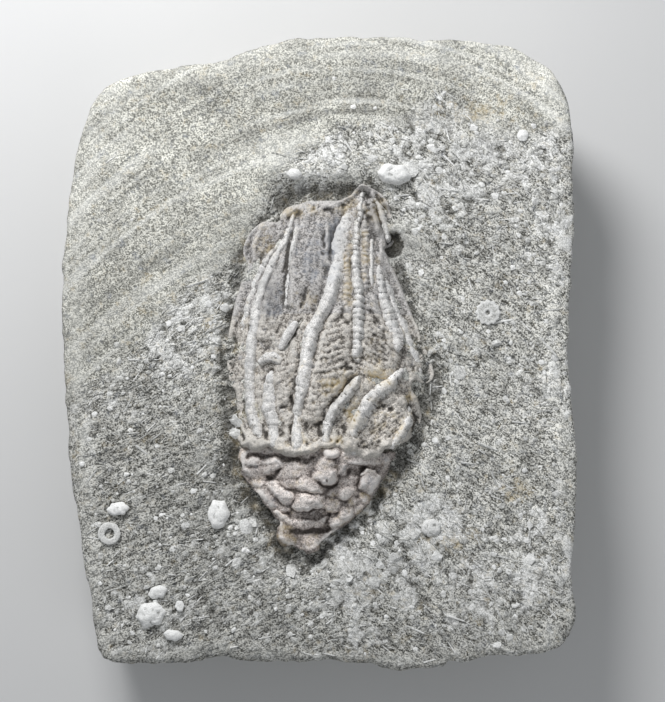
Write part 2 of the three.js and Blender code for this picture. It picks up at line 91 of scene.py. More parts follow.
# Knobs and chips in the slab's outline: direction in degrees, half width in degrees, amount
RIM_KNOBS = (
    (36, 3, -0.5), (54, 4, -0.4), (108, 8, -1.0), (132, 3, 0.8), (227, 3, -1.7), (235, 3.5, 1.3),
    (246, 3, 0.8), (258, 3, 0.5), (271, 4, -0.6), (294, 4, -1.0), (312, 3.5, 1.8), (319, 3.5, -1.0),
)

# The edge of the fine-grained top layer, from right to left: below it the shelly layer shows.
LAYER_EDGE = ((60, 40), (36, 38), (22, 45), (-3, 39), (-13, 23), (-23, 12), (-34, -1), (-60, -20))

# Direction of the shelly layer's fabric in degrees, left and right of the crown
BEDDING = (28, -38)

# Where shell pieces lie thickest: x, y, reach, strength
SHELL_BANKS = (
    (-24, 7, 6, 1.0), (-28, 2, 4, 0.6), (20, 41, 9, 0.8), (36, 38, 7, 1.0), (43, 20, 5, 0.9),
    (43, -5, 5, 0.8), (42, -36, 6, 0.8), (10, -37, 8, 0.8), (21, -31, 4, 1.0), (-16, -34, 5, 0.7),
    (-30, -46, 5, 0.7), (2, -45, 8, 0.4), (22, 30, 5, 0.7), (24, 0, 4, 0.5), (-38, -6, 4, 0.5),
    (-2, 36, 5, 1.0), (30, -46, 7, 0.6),
)

# The quiet patch over the arm tips, with finer relief and no loose shells:
# x, y, reach across, reach along, amount
TIP_CALM = ((-1, 28.4, 8, 1.7, 0.85),)

# Lighter and darker ground, then ochre stain: x, y, reach across, reach along, amount
# Of the darker ground, the patch at (-18, -26) beside the cup's left flank and the thin line at (-3.5, 30.6)
# under the rock ledge over the arm tips are painted shade.
SLAB_TONES = (
    (41, 49, 13, 13, 0.28), (26, 37, 9, 6, -0.07), (45, 8, 8, 40, 0.24), (36, -12, 16, 26, 0.18),
    (-20, -36, 30, 20, -0.12), (8, -20, 20, 10, -0.05), (-34, -16, 16, 16, -0.12), (-18, -26, 6, 9, -0.30),
    (9, -40, 9, 5, -0.07), (-12, 31, 6, 4, 0.06), (0, 34, 12, 6, 0.10), (-1.5, 29, 8, 2.0, 0.08),
    (-3.5, 30.6, 6, 0.7, -0.22), (-24, 5, 7, 9, 0.12), (-40, 34, 20, 30, 0.08), (18, 18, 5, 10, -0.12),
    (0, -52, 50, 5, -0.10), (-44, 10, 6, 30, -0.05), (30, -30, 12, 12, 0.08), (13.4, 19.6, 1.9, 3.0, -0.60),
)
SLAB_STAINS = (
    (-1, 28.2, 6, 1.3, 0.45), (22, -33, 5, 3, 0.5), (28, 44, 5, 3, 0.35), (35, -24, 3, 3, 0.35),
    (9, -42, 5, 3, 0.3), (-19, 5, 3, 9, 0.3),
)

# The crown's middle and half width at stations up its length
FAN_Y = (-17, -8, 0, 10, 18, 24, 30)
FAN_HALF = (13, 17, 17, 15, 12.5, 9, 6)
FAN_MIDDLE = (0.5, 2.0, 2.0, 1.5, 1.5, 2.5, 3.5)

# Brushes of fine side branches: CAD node, spacing, slope, bow, middle, height
BRANCH_FIELDS = (
    ("pinnules_left", 0.95, 0.35, 0.05, -6.0, 0.16), ("pinnules_middle", 1.28, 0.22, -0.06, 1.5, 0.26),
    ("pinnules_right", 1.05, -0.55, 0.05, 10.0, 0.25), ("pinnules_lobe", 0.72, 0.75, -0.03, 12.0, 0.12),
)

# Crests between the arms: height, spacing of their beads (0 for none), then x, y, half width at each stop
BED_RIDGES = (
    (0.40, 0, ((-4.2, 24, 0.5), (-4.3, 20.5, 0.45), (-4.9, 17.5, 0.4), (-5.4, 14.5, 0.3))),
    (0.45, 0, ((1.4, 23, 0.4), (1.3, 19.5, 0.5), (1.4, 16.2, 0.5))),
    (0.34, 1.05, ((5.0, 24, 0.45), (4.8, 20, 0.6), (4.7, 15, 0.7), (4.9, 11, 0.6), (4.6, 8, 0.5))),
    (0.34, 0.95, ((8.1, 25, 0.5), (8.4, 21, 0.6), (8.1, 16, 0.6), (8.3, 12, 0.6))),
    (0.35, 0, ((10.4, 24, 0.6), (11.2, 20, 0.6), (11.0, 17, 0.5))),
    (0.45, 0, ((-12.0, 17, 0.4), (-12.0, 20, 0.5), (-10.6, 23, 0.5), (-8.4, 23.6, 0.4))),
    (0.35, 0, ((-6.2, 25.2, 0.5), (-4.0, 26.8, 0.5), (0.0, 26.6, 0.6), (2.4, 27.0, 0.5), (5.2, 28.8, 0.6))),
    (0.45, 0, ((-10.3, -12.2, 0.5), (-8.6, -14.6, 0.7), (-7.0, -16.0, 0.8), (-5.6, -15.0, 0.7),
                (-5.9, -12.8, 0.5))),
    (0.40, 0, ((-4.6, -11.0, 0.7), (-3.6, -13.2, 0.8), (-2.0, -15.6, 0.9))),
    (0.35, 0, ((16.2, -3.2, 0.8), (16.9, -4.2, 0.8), (16.4, -5.2, 0.6))),
    (0.70, 0, ((5.6, -13.0, 0.9), (5.2, -15.0, 1.1), (6.4, -17.0, 1.1))),
    (0.55, 0, ((15.4, -13.0, 0.7), (14.2, -15.8, 0.8), (11.6, -17.6, 0.9), (8.8, -17.8, 0.8))),
    (0.45, 0, ((-12.6, -14.2, 0.9), (-10.6, -15.8, 0.8))),
)

# Cracks and holes between the arms: depth, then x, y, half width at each stop
BED_CRACKS = (
    (0.40, ((0.7, 22, 0.4), (0.8, 20, 0.5), (0.8, 17.8, 0.4))),
    (0.70, ((-6.6, 1.0, 0.4), (-5.0, 3.4, 0.8), (-3.4, 5.8, 0.5))),
    (0.45, ((-3.2, 8.0, 0.5), (-3.0, 10.4, 0.9), (-2.0, 13.0, 0.5))),
    (0.90, ((3.9, -2.6, 0.45), (4.7, -2.5, 0.7), (5.4, -2.8, 0.45))),
    (0.45, ((3.9, 7.6, 0.5), (4.3, 5.6, 0.6), (5.3, 5.2, 0.5))),
    (0.25, ((-0.8, -3.7, 0.4), (1.2, -3.7, 0.4), (3.3, -2.9, 0.4))),
    (0.40, ((9.2, 7.4, 0.6), (10.5, 5.6, 0.7), (11.6, 4.4, 0.6), (12.0, 2.5, 0.5))),
    (1.20, ((1.8, -15.3, 0.6), (2.9, -15.9, 0.8))),
    (0.70, ((-10.8, -11.3, 0.5), (-9.8, -13.6, 0.6), (-8.9, -15.4, 0.6))),
    (0.60, ((-7.0, -9.8, 0.5), (-5.8, -9.6, 0.6))),
    (0.45, ((9.0, -9.4, 0.6), (11.0, -9.6, 0.8), (12.8, -10.2, 0.6))),
    (0.50, ((7.7, 25.4, 0.7), (8.4, 24.8, 0.7))),
    (0.35, ((-5.7, 21.5, 0.5), (-5.9, 18.0, 0.5), (-6.5, 14.5, 0.4))),
    (0.50, ((-8.6, 25.0, 0.4), (-6.6, 24.4, 0.5), (-6.2, 22.8, 0.4))),
    (0.60, ((-5.0, -8.0, 0.5), (-4.2, -11.0, 0.6), (-4.0, -13.6, 0.5))),
    (0.60, ((-0.4, -13.0, 0.6), (0.6, -14.6, 0.7))),
)

# Lower edge of the arms' bases: x, y
LEDGE = (
    (-20, -14.0), (-15.2, -15.6), (-13.6, -16.9), (-11, -17.3), (-9.2, -16.9), (-8.0, -17.6), (-6.2, -18.3),
    (-3, -18.2), (-0.8, -17.9), (0.4, -16.8), (3.6, -16.9), (4.4, -17.6), (6.0, -18.6), (8.0, -19.3),
    (10.2, -19.2), (11.6, -17.6), (20, -14.0),
)

# Knobs where the arms' bases meet that edge: x, y, reach across, reach along, height
LEDGE_KNOBS = (
    (-13.0, -15.6, 1.5, 1.2, 0.8), (-9.6, -16.2, 1.3, 1.1, 0.7), (-6.6, -17.2, 1.5, 1.0, 0.8),
    (-3.4, -17.3, 1.6, 1.0, 0.7), (-0.6, -16.8, 1.1, 0.9, 0.8), (5.4, -16.6, 1.3, 1.4, 1.2),
    (8.4, -18.0, 1.6, 1.0, 0.7), (11.8, -16.9, 1.5, 1.1, 0.7),
)

# Lighter and darker, then warmer and greyer parts of the crown: x, y, reach across, reach along, amount
# The lighter band at (-4.6, -16.8) along the arms' bases over the cup is pale calcite and partly a painted
# highlight on its rounded top.
CROWN_TONES = (
    (-1.5, 16, 3, 7, -0.16), (-9.0, 11, 2.0, 6, -0.50), (-5.7, 18, 0.8, 4, -0.22),
    (-4.4, 3.5, 1.6, 2, -0.30), (-3, 10.5, 1.6, 1.6, -0.25), (-2.4, -1, 1.6, 8, 0.34),
    (2.2, 10, 1.4, 4, 0.12), (12, -12, 3.6, 4, 0.62), (10.8, -4.2, 2.6, 2, 0.66),
    (10.8, 1.6, 2.6, 3.4, -0.26), (2.9, 21, 1.7, 4.5, -0.38), (-12.6, 0, 1.5, 12, 0.10),
    (10.8, -8.8, 2.4, 1.2, -0.25), (13, 4, 1.6, 5, 0.10), (8.4, 24.8, 1.3, 1.3, -0.20),
    (-11.4, -16.2, 2.6, 1.2, -0.34), (0.8, -11, 1.6, 4, 0.10), (-4.6, -16.8, 4.4, 1.0, 0.30),
    (7.5, -17.4, 3.2, 1.2, 0.04), (10.4, 25.4, 2.2, 3.2, -0.75), (4, 24, 1.5, 3, -0.05),
)
CROWN_WARMTHS = (
    (-10, 20, 2.5, 3.2, 0.24), (1, 25.6, 4.5, 1.3, 0.26), (5.4, 27.4, 1.8, 2, 0.34),
    (-5.4, 25.8, 3, 1.1, 0.34), (4.9, 14, 1.0, 7, 0.36), (8.2, 18, 0.9, 7, 0.32), (-2, 9, 3, 2.4, 0.26),
    (3, -6, 3, 2.4, 0.36), (10.6, -4.2, 2.8, 1.8, 0.40), (6.2, -11.4, 1.4, 2.4, 0.36),
    (16.6, -7.6, 2, 1.5, 0.36), (3, -15.6, 1.3, 1, 0.45), (12, -13, 3.6, 3, 0.20), (10.8, 25, 2, 3.5, 0.12),
    (-1.6, 17, 2.6, 6, -0.18), (2.6, 20, 1.6, 5, -0.46), (-8.6, 8, 2, 5, -0.22), (11, 26, 1.8, 2.5, 0.40),
    (-3, -13.5, 3, 3, 0.16), (-3, -16.8, 12, 1.4, 0.10), (10, -1, 3, 4, 0.10), (5.2, -11, 1.6, 1.6, 0.24),
)

# Each arm's habit: length of one ossicle, depth of its joints, how beaded, how much wider than its
# solid, how flared, how far its crest lies right of its solid's middle, how much of its height it
# keeps near the arm tips
ARM_HABIT = {
    "arm_middle_upper": (1.15, 0.12, 0.7, 1.0, 1.2, 0.2, 1.0),
    "arm_centre": (1.7, 0.07, 0.15, 0.95, 1.3, 0.5, 0.42),
    "arm_left_main": (1.6, 0.06, 0.15, 0.98, 1.4, 0.55, 0.9),
    "arm_middle_lower": (1.5, 0.12, 0.5, 1.0, 1.3, 0.7, 1.0),
    "arm_right_lower": (1.5, 0.12, 0.6, 1.1, 1.35, 0.25, 1.0),
    "arm_left_short": (1.8, 0.08, 0.25, 1.35, 1.3, 0.3, 1.0),
    "arm_right_inner": (1.3, 0.10, 0.45, 1.15, 1.2, 0.35, 1.0),
    "arm_left_ridge": (2.0, 0.05, 0.2, 1.0, 1.6, 0.3, 0.8),
    "arm_right_rim": (1.8, 0.05, 0.2, 1.1, 1.4, -0.6, 1.0),
    "arm_top_hood": (1.6, 0.06, 0.3, 1.2, 1.3, 0.2, 1.0),
    "arm_left_outer": (1.5, 0.07, 0.25, 1.1, 1.3, 0.95, 0.9),
    "arm_right_outer": (1.5, 0.07, 0.25, 1.15, 1.3, -0.6, 1.0),
}
PLAIN_HABIT = (1.5, 0.07, 0.25, 1.08, 1.2, 0.3, 1.0)

# Plates of the cup: x, y, half lengths, tilt in degrees, height, tone, warmth
CUP_PLATES = (
    (-10.0, -20.0, 3.2, 1.9, -8, 0.9, 0.46, 0.42), (-14.1, -18.7, 0.9, 1.2, 20, 0.7, 0.52, 0.62),
    (-13.9, -20.2, 1.0, 0.8, 0, 0.5, 0.60, 0.62), (-8.6, -18.9, 1.6, 0.9, 0, 0.9, 0.42, 0.38),
    (-4.2, -20.9, 2.3, 1.3, -5, 0.9, 0.55, 0.56), (-1.5, -19.4, 1.1, 0.9, 0, 0.4, 0.45, 0.52),
    (2.0, -17.6, 1.5, 1.2, 20, 1.5, 0.72, 0.58), (1.1, -19.4, 1.7, 1.3, 0, 1.3, 0.62, 0.55),
    (1.1, -21.6, 1.9, 1.6, -10, 1.7, 0.70, 0.52), (-1.8, -23.3, 2.1, 1.4, -5, 1.4, 0.58, 0.54),
    (-5.0, -22.8, 1.4, 1.2, 10, 0.8, 0.45, 0.56), (4.1, -20.6, 0.95, 1.1, 0, 0.9, 0.42, 0.46),
    (6.6, -18.9, 2.4, 0.8, -8, 0.9, 0.50, 0.50), (5.3, -17.6, 1.2, 0.9, 0, 0.8, 0.60, 0.60),
    (9.8, -19.1, 1.3, 0.7, -10, 0.8, 0.60, 0.58), (9.0, -22.6, 1.5, 2.0, -15, 1.5, 0.50, 0.36),
    (8.0, -25.4, 1.0, 1.1, -15, 1.0, 0.68, 0.70), (5.0, -24.7, 2.0, 1.0, 10, 1.1, 0.70, 0.55),
    (6.1, -26.3, 1.1, 0.8, 0, 0.9, 0.60, 0.62), (4.6, -22.9, 1.7, 0.8, 0, 0.5, 0.40, 0.54),
    (2.3, -24.6, 1.0, 0.9, 0, 0.8, 0.55, 0.56), (-7.2, -24.6, 2.6, 1.1, -38, 1.4, 0.70, 0.44),
    (-8.7, -26.0, 1.7, 1.2, -30, 0.7, 0.44, 0.28), (-6.3, -27.3, 1.3, 0.8, 0, 0.6, 0.50, 0.52),
    (-1.8, -26.2, 2.7, 1.4, 0, 1.6, 0.76, 0.52), (-10.8, -22.9, 1.2, 1.2, 0, 0.8, 0.58, 0.66),
    (-10.8, -25.0, 1.1, 0.8, -30, 0.7, 0.68, 0.70), (2.4, -26.9, 1.2, 1.2, 0, 1.0, 0.66, 0.66),
    (4.9, -28.3, 1.3, 1.5, -20, 1.1, 0.66, 0.66), (7.2, -27.7, 1.0, 0.8, 20, 0.8, 0.64, 0.66),
    (3.2, -29.9, 1.4, 0.9, 10, 1.1, 0.76, 0.62), (-6.1, -32.0, 1.8, 2.2, -25, 0.9, 0.38, 0.78),
    (-1.6, -33.9, 1.7, 2.0, 0, 1.0, 0.40, 0.64), (1.2, -32.6, 1.2, 1.2, 0, 0.7, 0.34, 0.56),
    (-3.6, -33.0, 0.9, 1.4, 0, 0.5, 0.42, 0.54), (-11.6, -19.2, 1.2, 0.8, 0, 1.1, 0.5, 0.45),
)

# How chalky each loose piece is
FRAGMENT_TONES = {
    "fragment_corner_large": 0.95, "fragment_corner_upper": 0.85, "fragment_corner_right": 0.8,
    "fragment_corner_lower": 0.8, "fragment_top_oval": 0.95, "fragment_left_oval": 0.9,
    "fragment_top_bean": 0.6, "fragment_upper_right": 0.9, "fragment_edge_oval": 0.9,
    "fragment_foot_oval": 0.6, "columnal_toothed": 0.5, "columnal_ring": 0.32,
}

# Raised rims: height, stops, tone; then hollows: depth, stops
CUP_RIMS = (
    (1.05, ((-7.4, -28.6, 0.6), (-5.4, -30.1, 0.9), (-2.6, -30.7, 1.0), (0.0, -30.3, 0.9),
             (1.3, -29.4, 0.6)), 0.66),
    (1.40, ((7.4, -21.6, 0.3), (8.6, -20.9, 0.4), (10.0, -21.0, 0.45), (10.6, -22.2, 0.4),
             (9.8, -24.0, 0.3)), 0.72),
)
CUP_HOLLOWS = (
    (0.8, ((-8.9, -22.5, 0.6), (-7.7, -21.6, 0.55), (-7.1, -20.9, 0.4))),
    (0.5, ((0.2, -23.3, 0.4), (1.6, -23.9, 0.5), (2.8, -23.5, 0.4))),
    (0.7, ((5.3, -21.3, 0.7), (6.6, -21.5, 0.8), (7.8, -20.6, 0.5))),
    (0.2, ((-5.6, -28.9, 0.6), (-2.4, -29.2, 0.7), (0.8, -28.8, 0.6))),
    (0.5, ((-12.5, -18.2, 0.5), (-8, -18.2, 0.5), (-4, -19.0, 0.6), (-1.5, -18.8, 0.5))),
    (0.4, ((-4.8, -31.9, 0.5), (-1.5, -32.0, 0.6), (1.4, -31.4, 0.6))),
    (0.4, ((1.6, -28.6, 0.4), (1.6, -30.2, 0.4))),
    (0.4, ((4.4, -31.0, 0.5), (6.4, -29.9, 0.4))),
)


# ---- noise on arrays of places ----
def ease(t):
    t = np.clip(t, 0, 1)
    return t * t * (3 - 2 * t)


def ramp(value, low, high):
    """0 below low, 1 above high, eased between; low may be the larger one."""
    return ease((value - low) / (high - low))


def lattice(x, y, cell, seed):
    """Smooth noise from -1 to 1, one random value to each cell corner."""
    size = 256
    grid = np.random.default_rng(seed).uniform(-1, 1, (size, size))
    u, v = x / cell + 1000.37, y / cell + 1000.71
    i, j = np.floor(u).astype(int), np.floor(v).astype(int)
    fu, fv = ease(u - i), ease(v - j)
    near = grid[i % size, j % size] * (1 - fu) + grid[(i + 1) % size, j % size] * fu
    far = grid[i % size, (j + 1) % size] * (1 - fu) + grid[(i + 1) % size, (j + 1) % size] * fu
    return near * (1 - fv) + far * fv


def fractal(x, y, cell, octaves, seed):
    """Layers of smooth noise, each half the size and half the strength of the last."""
    return sum(lattice(x, y, cell / 2 ** k, seed + k) / 2 ** k for k in range(octaves))


def pebbled(x, y, cell, seed):
    """Distance to the nearest of a scatter of points, to the second nearest, and the nearest one's value."""
    size = 256
    rng = np.random.default_rng(seed)
    px, py, own = rng.uniform(0, 1, (3, size, size))
    u, v = x / cell + 1000.13, y / cell + 1000.57
    i, j = np.floor(u).astype(int), np.floor(v).astype(int)
    first = np.full(x.shape, 9.0)
    second = np.full(x.shape, 9.0)
    value = np.zeros(x.shape)
    for di in (-1, 0, 1):
        for dj in (-1, 0, 1):
            a, b = (i + di) % size, (j + dj) % size
            away = np.hypot(i + di + px[a, b] - u, j + dj + py[a, b] - v)
            closer = away < first
            second = np.where(closer, first, np.minimum(second, away))
            value = np.where(closer, own[a, b], value)
            first = np.where(closer, away, first)
    return first, second, value


def turned(x, y, degrees):
    """The places read along and across a direction."""
    c, s = math.cos(math.radians(degrees)), math.sin(math.radians(degrees))
    return x * c + y * s, y * c - x * s


def soften(grid, cells, passes=2):
    """A box blur in rows and columns, with the edges held."""
    width = 2 * cells + 1
    for _ in range(passes):
        for axis in (0, 1):
            pad = [(0, 0), (0, 0)]
            pad[axis] = (cells + 1, cells)
            total = np.cumsum(np.pad(grid, pad, mode="edge"), axis=axis)
            grid = (np.take(total, range(width, total.shape[axis]), axis=axis)
                    - np.take(total, range(total.shape[axis] - width), axis=axis)) / width
    return grid


# ---- reading the CAD frame ----
def solid_tree(*names):
    """One search tree over some CAD nodes, in millimetres."""
    points, faces = [], []
    for name in names:
        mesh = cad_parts[name].data
        start = len(points)
        points += [v.co / MM for v in mesh.vertices]
        faces += [[start + i for i in p.vertices] for p in mesh.polygons]
    return BVHTree.FromPolygons(points, faces)


def drop(tree, x, y, missing):
    """Height of a solid's top under each place."""
    down = Vector((0, 0, -1))
    out = np.full(x.size, float(missing))
    for k, (a, b) in enumerate(zip(x.ravel(), y.ravel())):
        hit = tree.ray_cast(Vector((a, b, SKY)), down)[0]
        if hit is not None:
            out[k] = hit.z
    return out.reshape(x.shape)


def reach_in(tree, angle, z):
    """Distance from the slab's axis to its wall, for each direction at each height."""
    out = np.zeros(angle.size)
    for k, (a, h) in enumerate(zip(angle.ravel(), z.ravel())):
        ray = Vector((math.cos(a), math.sin(a), 0))
        hit = tree.ray_cast(ray * HULL_REACH + Vector((0, 0, h)), -ray)[0]
        out[k] = math.hypot(hit.x, hit.y) if hit is not None else out[k - 1]
    return out.reshape(angle.shape)


def node_box(name):
    low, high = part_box(name)
    return np.array(low) / MM, np.array(high) / MM


slab_low, slab_high = node_box(SLAB)
HALF = (slab_high - slab_low)[:2] / 2
CROWN_NODES = [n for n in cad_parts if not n.startswith(("matrix", "fragment", "columnal"))]
ARM_NODES = [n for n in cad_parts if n.startswith("arm_") and n != "arm_left_fork"]
SAC_NODES = [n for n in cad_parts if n.startswith("sac_wall")] + ["plate_flap"]
BRANCH_NODES = [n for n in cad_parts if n.startswith("pinnules")]
slab_tree = solid_tree(SLAB)
crown_tree = solid_tree(*CROWN_NODES)
arm_tree = solid_tree(*ARM_NODES)
bed_tree = solid_tree(SLAB, *SAC_NODES, *BRANCH_NODES)
crown_low = np.min([node_box(n)[0] for n in CROWN_NODES], axis=0)
crown_high = np.max([node_box(n)[1] for n in CROWN_NODES], axis=0)


# ---- meshes ----
def place_mesh(name, bm):
    """Puts a bmesh whose places are in millimetres into the scene, in metres."""
    bmesh.ops.scale(bm, vec=(MM, MM, MM), verts=bm.verts)
    mesh = bpy.data.meshes.new(name)
    bm.to_mesh(mesh)
    bm.free()
    mesh.polygons.foreach_set("use_smooth", [True] * len(mesh.polygons))
    piece = bpy.data.objects.new(name, mesh)
    bpy.context.collection.objects.link(piece)
    return piece


def finish_piece(piece, material, slot, *nodes):
    piece.data.materials.clear()
    piece.data.materials.append(material)
    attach(piece, "root")
    if nodes:
        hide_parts(*nodes)
    return piece


def grid_mesh(columns, rows):
    """A flat grid and its vertices' places from -1 to 1, as (rows, columns) arrays."""
    bm = bmesh.new()
    bmesh.ops.create_grid(bm, x_segments=columns, y_segments=rows, size=1)
    bm.verts.ensure_lookup_table()
    flat = np.array([v.co[:2] for v in bm.verts])
    shape = (rows + 1, columns + 1)
    return bm, flat[:, 0].reshape(shape), flat[:, 1].reshape(shape)


def set_places(bm, x, y, z):
    for vert, a, b, c in zip(bm.verts, x.ravel(), y.ravel(), z.ravel()):
        vert.co = (a, b, c)


def depth_mask(depth):
    """A depth from -1 on a ridge to 1 in a hollow, as a mask from 0 to 1."""
    return np.clip(depth, -1, 1) * 0.5 + 0.5


def sunken(z, near, far, near_cells=2, far_cells=7):
    """How far each place lies below its neighbours, near and far, as shares of two depths."""
    return (soften(z, near_cells) - z) / near + (soften(z, far_cells) - z) / far


def extrude_rim(bm, edges):
    """Extrudes a loop of edges and gives its new vertices and its new open edges."""
    made = bmesh.ops.extrude_edge_only(bm, edges=edges)["geom"]
    verts = [g for g in made if isinstance(g, bmesh.types.BMVert)]
    return verts, [g for g in made if isinstance(g, bmesh.types.BMEdge) and g.is_boundary]


def write_mask(piece, name, values):
    """Stores one number on each vertex for the materials to read."""
    layer = piece.data.attributes.new(name, "FLOAT", "POINT")
    layer.data.foreach_set("value", np.asarray(values, float).ravel())


def neighbour_mean(mesh, values):
    """Each vertex's value averaged over the ends of its edges."""
    edges = np.zeros(len(mesh.edges) * 2, int)
    mesh.edges.foreach_get("vertices", edges)
    a, b = edges.reshape(-1, 2).T
    count = np.bincount(a, minlength=len(values)) + np.bincount(b, minlength=len(values))
    columns = [np.bincount(a, c[b], len(values)) + np.bincount(b, c[a], len(values)) for c in values.T]
    return np.stack(columns, 1) / np.maximum(count, 1)[:, None]


def vertex_arrays(mesh):
    count = len(mesh.vertices)
    place, normal = np.zeros(count * 3), np.zeros(count * 3)
    mesh.vertices.foreach_get("co", place)
    mesh.vertices.foreach_get("normal", normal)
    return place.reshape(-1, 3) / MM, normal.reshape(-1, 3)


def mark_hollows(piece, *scales):
    """Masks how far each vertex lies in a hollow: 0 on ridges, 1 in grooves. The materials paint shade into
    the grooves and light onto the ridges by it.

    Each scale: smoothing passes, depth.
    """
    place, normal = vertex_arrays(piece.data)
    total, smooth, done = np.zeros(len(place)), place, 0
    for passes, depth in scales:
        for _ in range(passes - done):
            smooth = neighbour_mean(piece.data, smooth)
        done = passes
        total += ((smooth - place) * normal).sum(1) / depth
    write_mask(piece, "hollow", depth_mask(total))


def roughen(piece, amounts):
    """Moves vertices along their normals by layers of noise: (amount, cell, seed)."""
    place, normal = vertex_arrays(piece.data)
    x, y, z = place.T
    u, v = x + 0.7 * z, y - 0.4 * z
    shift = sum(amount * fractal(u, v, cell, 2, seed) for amount, cell, seed in amounts)
    piece.data.vertices.foreach_set("co", ((place + normal * shift[:, None]) * MM).ravel())
    piece.data.update()


# ---- the slab ----
rim_angles = np.linspace(-math.pi, math.pi, 1441)[:-1]
rim_reach = reach_in(slab_tree, rim_angles, np.full(rim_angles.shape, RIM_LEVEL))
for _ in range(3):
    rim_reach = sum(np.roll(rim_reach, k) for k in range(-7, 8)) / 15


def rim_base(angle):
    """The slab's outline without its chips."""
    return np.interp(angle, rim_angles, rim_reach, period=2 * math.pi)


def foot_side(angle):
    """1 on the slab's foot side, 0 on the others."""
    return ramp(-np.sin(angle), 0.55, 0.9)


def rim_at(angle):
    """The slab's outline with its small chips, which are larger along the foot."""
    along = angle * HALF.mean()
    chips = 0.28 * fractal(along, along * 0, 3.0, 4, 11)
    bites = -1.1 * ramp(lattice(along, along * 0 + 5, 7.0, 13), 0.15, 0.7)
    foot = foot_side(angle)
    turn = np.degrees(angle) % 360
    knobs = sum(amount * np.exp(-((turn - middle) / reach) ** 2) for middle, reach, amount in RIM_KNOBS)
    out = rim_base(angle) * RIM_SPREAD + RIM_SHIFT * np.sin(angle)
    return out + chips * (1 + foot) + bites * foot + knobs - FOOT_INSET * foot


def layer_height(x, y):
    """1 where the fine-grained top layer is left, 0 where the shelly layer shows."""
    edge = np.array(LAYER_EDGE, float)[::-1]
    above = y - np.interp(x, edge[:, 0], edge[:, 1])
    return ramp(above + 3.0 * fractal(x, y, 9, 4, 21), -3.6, 3.2)


def swells(x, y, places):
    """Sum of soft round swells: x, y, reach across, reach along, amount."""
    return sum(amount * np.exp(-((x - a) / p) ** 2 - ((y - b) / q) ** 2) for a, b, p, q, amount in places)


def shell_density(x, y):
    banks = sum(s * np.exp(-((x - a) ** 2 + (y - b) ** 2) / (2 * r * r)) for a, b, r, s in SHELL_BANKS)
    return np.clip(0.10 + banks, 0, 1)


def right_side(x):
    """0 left of the crown, 1 right of it."""
    return ramp(x, -8, 14)


def bedding(x, y):
    """Direction of the shelly layer's fabric in degrees, which differs left and right of the crown."""
    rightwards = right_side(x)
    return BEDDING[0] * (1 - rightwards) + BEDDING[1] * rightwards + 24 * lattice(x, y, 11, 25)


def shelly_relief(x, y):
    """Height and paleness of the lower layer: a fibrous fabric, ragged chalky crusts and set-in shells."""
    height = 0.20 * fractal(x, y, 5.0, 3, 31) + 0.06 * fractal(x, y, 0.9, 2, 33)
    rightwards = right_side(x)
    wide_x, wide_y = x + 1.3 * fractal(x, y, 6, 2, 35), y + 1.3 * fractal(x, y, 6, 2, 37)
    for degrees, weight, seed in zip(BEDDING, (1 - rightwards, rightwards), (41, 51)):
        u, v = turned(wide_x, wide_y, degrees)
        height = height + weight * 0.11 * lattice(u / 3.6, v, 0.85, seed)
        height = height + weight * 0.07 * lattice(u / 2.6, v, 0.5, seed + 1)
    density = shell_density(x, y)
    crust = ramp(0.8 * fractal(x, y, 2.4, 5, 57) + 1.2 * density, 1.05, 1.35)
    height = height + 0.14 * crust
    pale = 0.9 * crust
    for cell, amount, share, seed in ((1.3, 0.10, 0.40, 61), (2.3, 0.12, 0.30, 71), (4.2, 0.14, 0.12, 81)):
        ragged = 0.45 * cell
        bent_x = x + ragged * fractal(x, y, cell * 0.7, 3, seed + 3)
        bent_y = y + ragged * fractal(x, y, cell * 0.7, 3, seed + 5)
        first, _, own = pebbled(bent_x, bent_y * 1.25, cell, seed)
        present = ramp(own, 1.0 - share * density, 1.03 - share * density)
        body = present * ramp(first, 0.42, 0.27)
        height = height + amount * body
        pale = np.maximum(pale, body * (0.6 + 0.4 * lattice(x, y, cell * 1.5, seed + 7)))
    return height, np.clip(pale, 0, 1)


def fine_relief(x, y):
    """The fine-grained layer: nearly flat, with faint long tooling streaks that curve over it."""
    along, across = turned(x, y + 0.010 * (x + 12) ** 2, 20)
    streak = 0.6 * lattice(along / 16, across, 0.9, 91) + 0.4 * lattice(along / 11, across, 2.3, 92)
    broad = lattice(along / 5, across, 6.0, 95)
    return 0.16 * fractal(x, y, 14, 2, 93) + 0.05 * streak + 0.12 * broad, streak


def wall_beds(along, height):
    """The broken side's height, gently warped, and its level beds."""
    level = height + 0.5 * lattice(along, along * 0, 9.0, 105)
    return level, lattice(level, along / 40, 1.7, 107)


def wall_place(reach, angle, level, top):
    """The broken side: how far its chips reach at each direction and height."""
    along = angle * HALF.mean()
    fade = ramp(level, 0, 0.12) * ramp(level, 1, 0.84)
    first, second, _ = pebbled(along, top * level * 1.6, 7.0, 101)
    chips = 0.9 * (second - first) - 0.45 + 0.5 * fractal(along, top * level, 2.6, 3, 103)
    beds = 0.45 * ramp(wall_beds(along, top * level)[1], -0.2, 0.2)
    return reach - fade * (0.25 + chips * 0.8 + beds)


def wall_masks(place):
    """Masks for the broken sides and the back: faint level beds, darker and paler, with soiled chips."""
    x, y, z = place
    along = np.arctan2(y, x) * HALF.mean()
    level, beds = wall_beds(along, z)
    soiled = fractal(along, z * 1.4, 2.4, 4, 109)
    even = np.ones(x.shape)
    return {"right": 0.5 * even, "pale": 0.05 * even, "fine": 0.55 * even,
            "hollow": np.clip(0.44 + 0.20 * soiled - 0.10 * beds, 0, 1),
            "streak": np.clip(0.5 + 0.35 * lattice(level, along / 14, 0.5, 113), 0, 1),
            "tone": np.clip(0.48 + 0.10 * beds + 0.08 * soiled, 0, 1),
            "warm": 0.1 + 0.2 * ramp(soiled, 0.3, 1.0)}


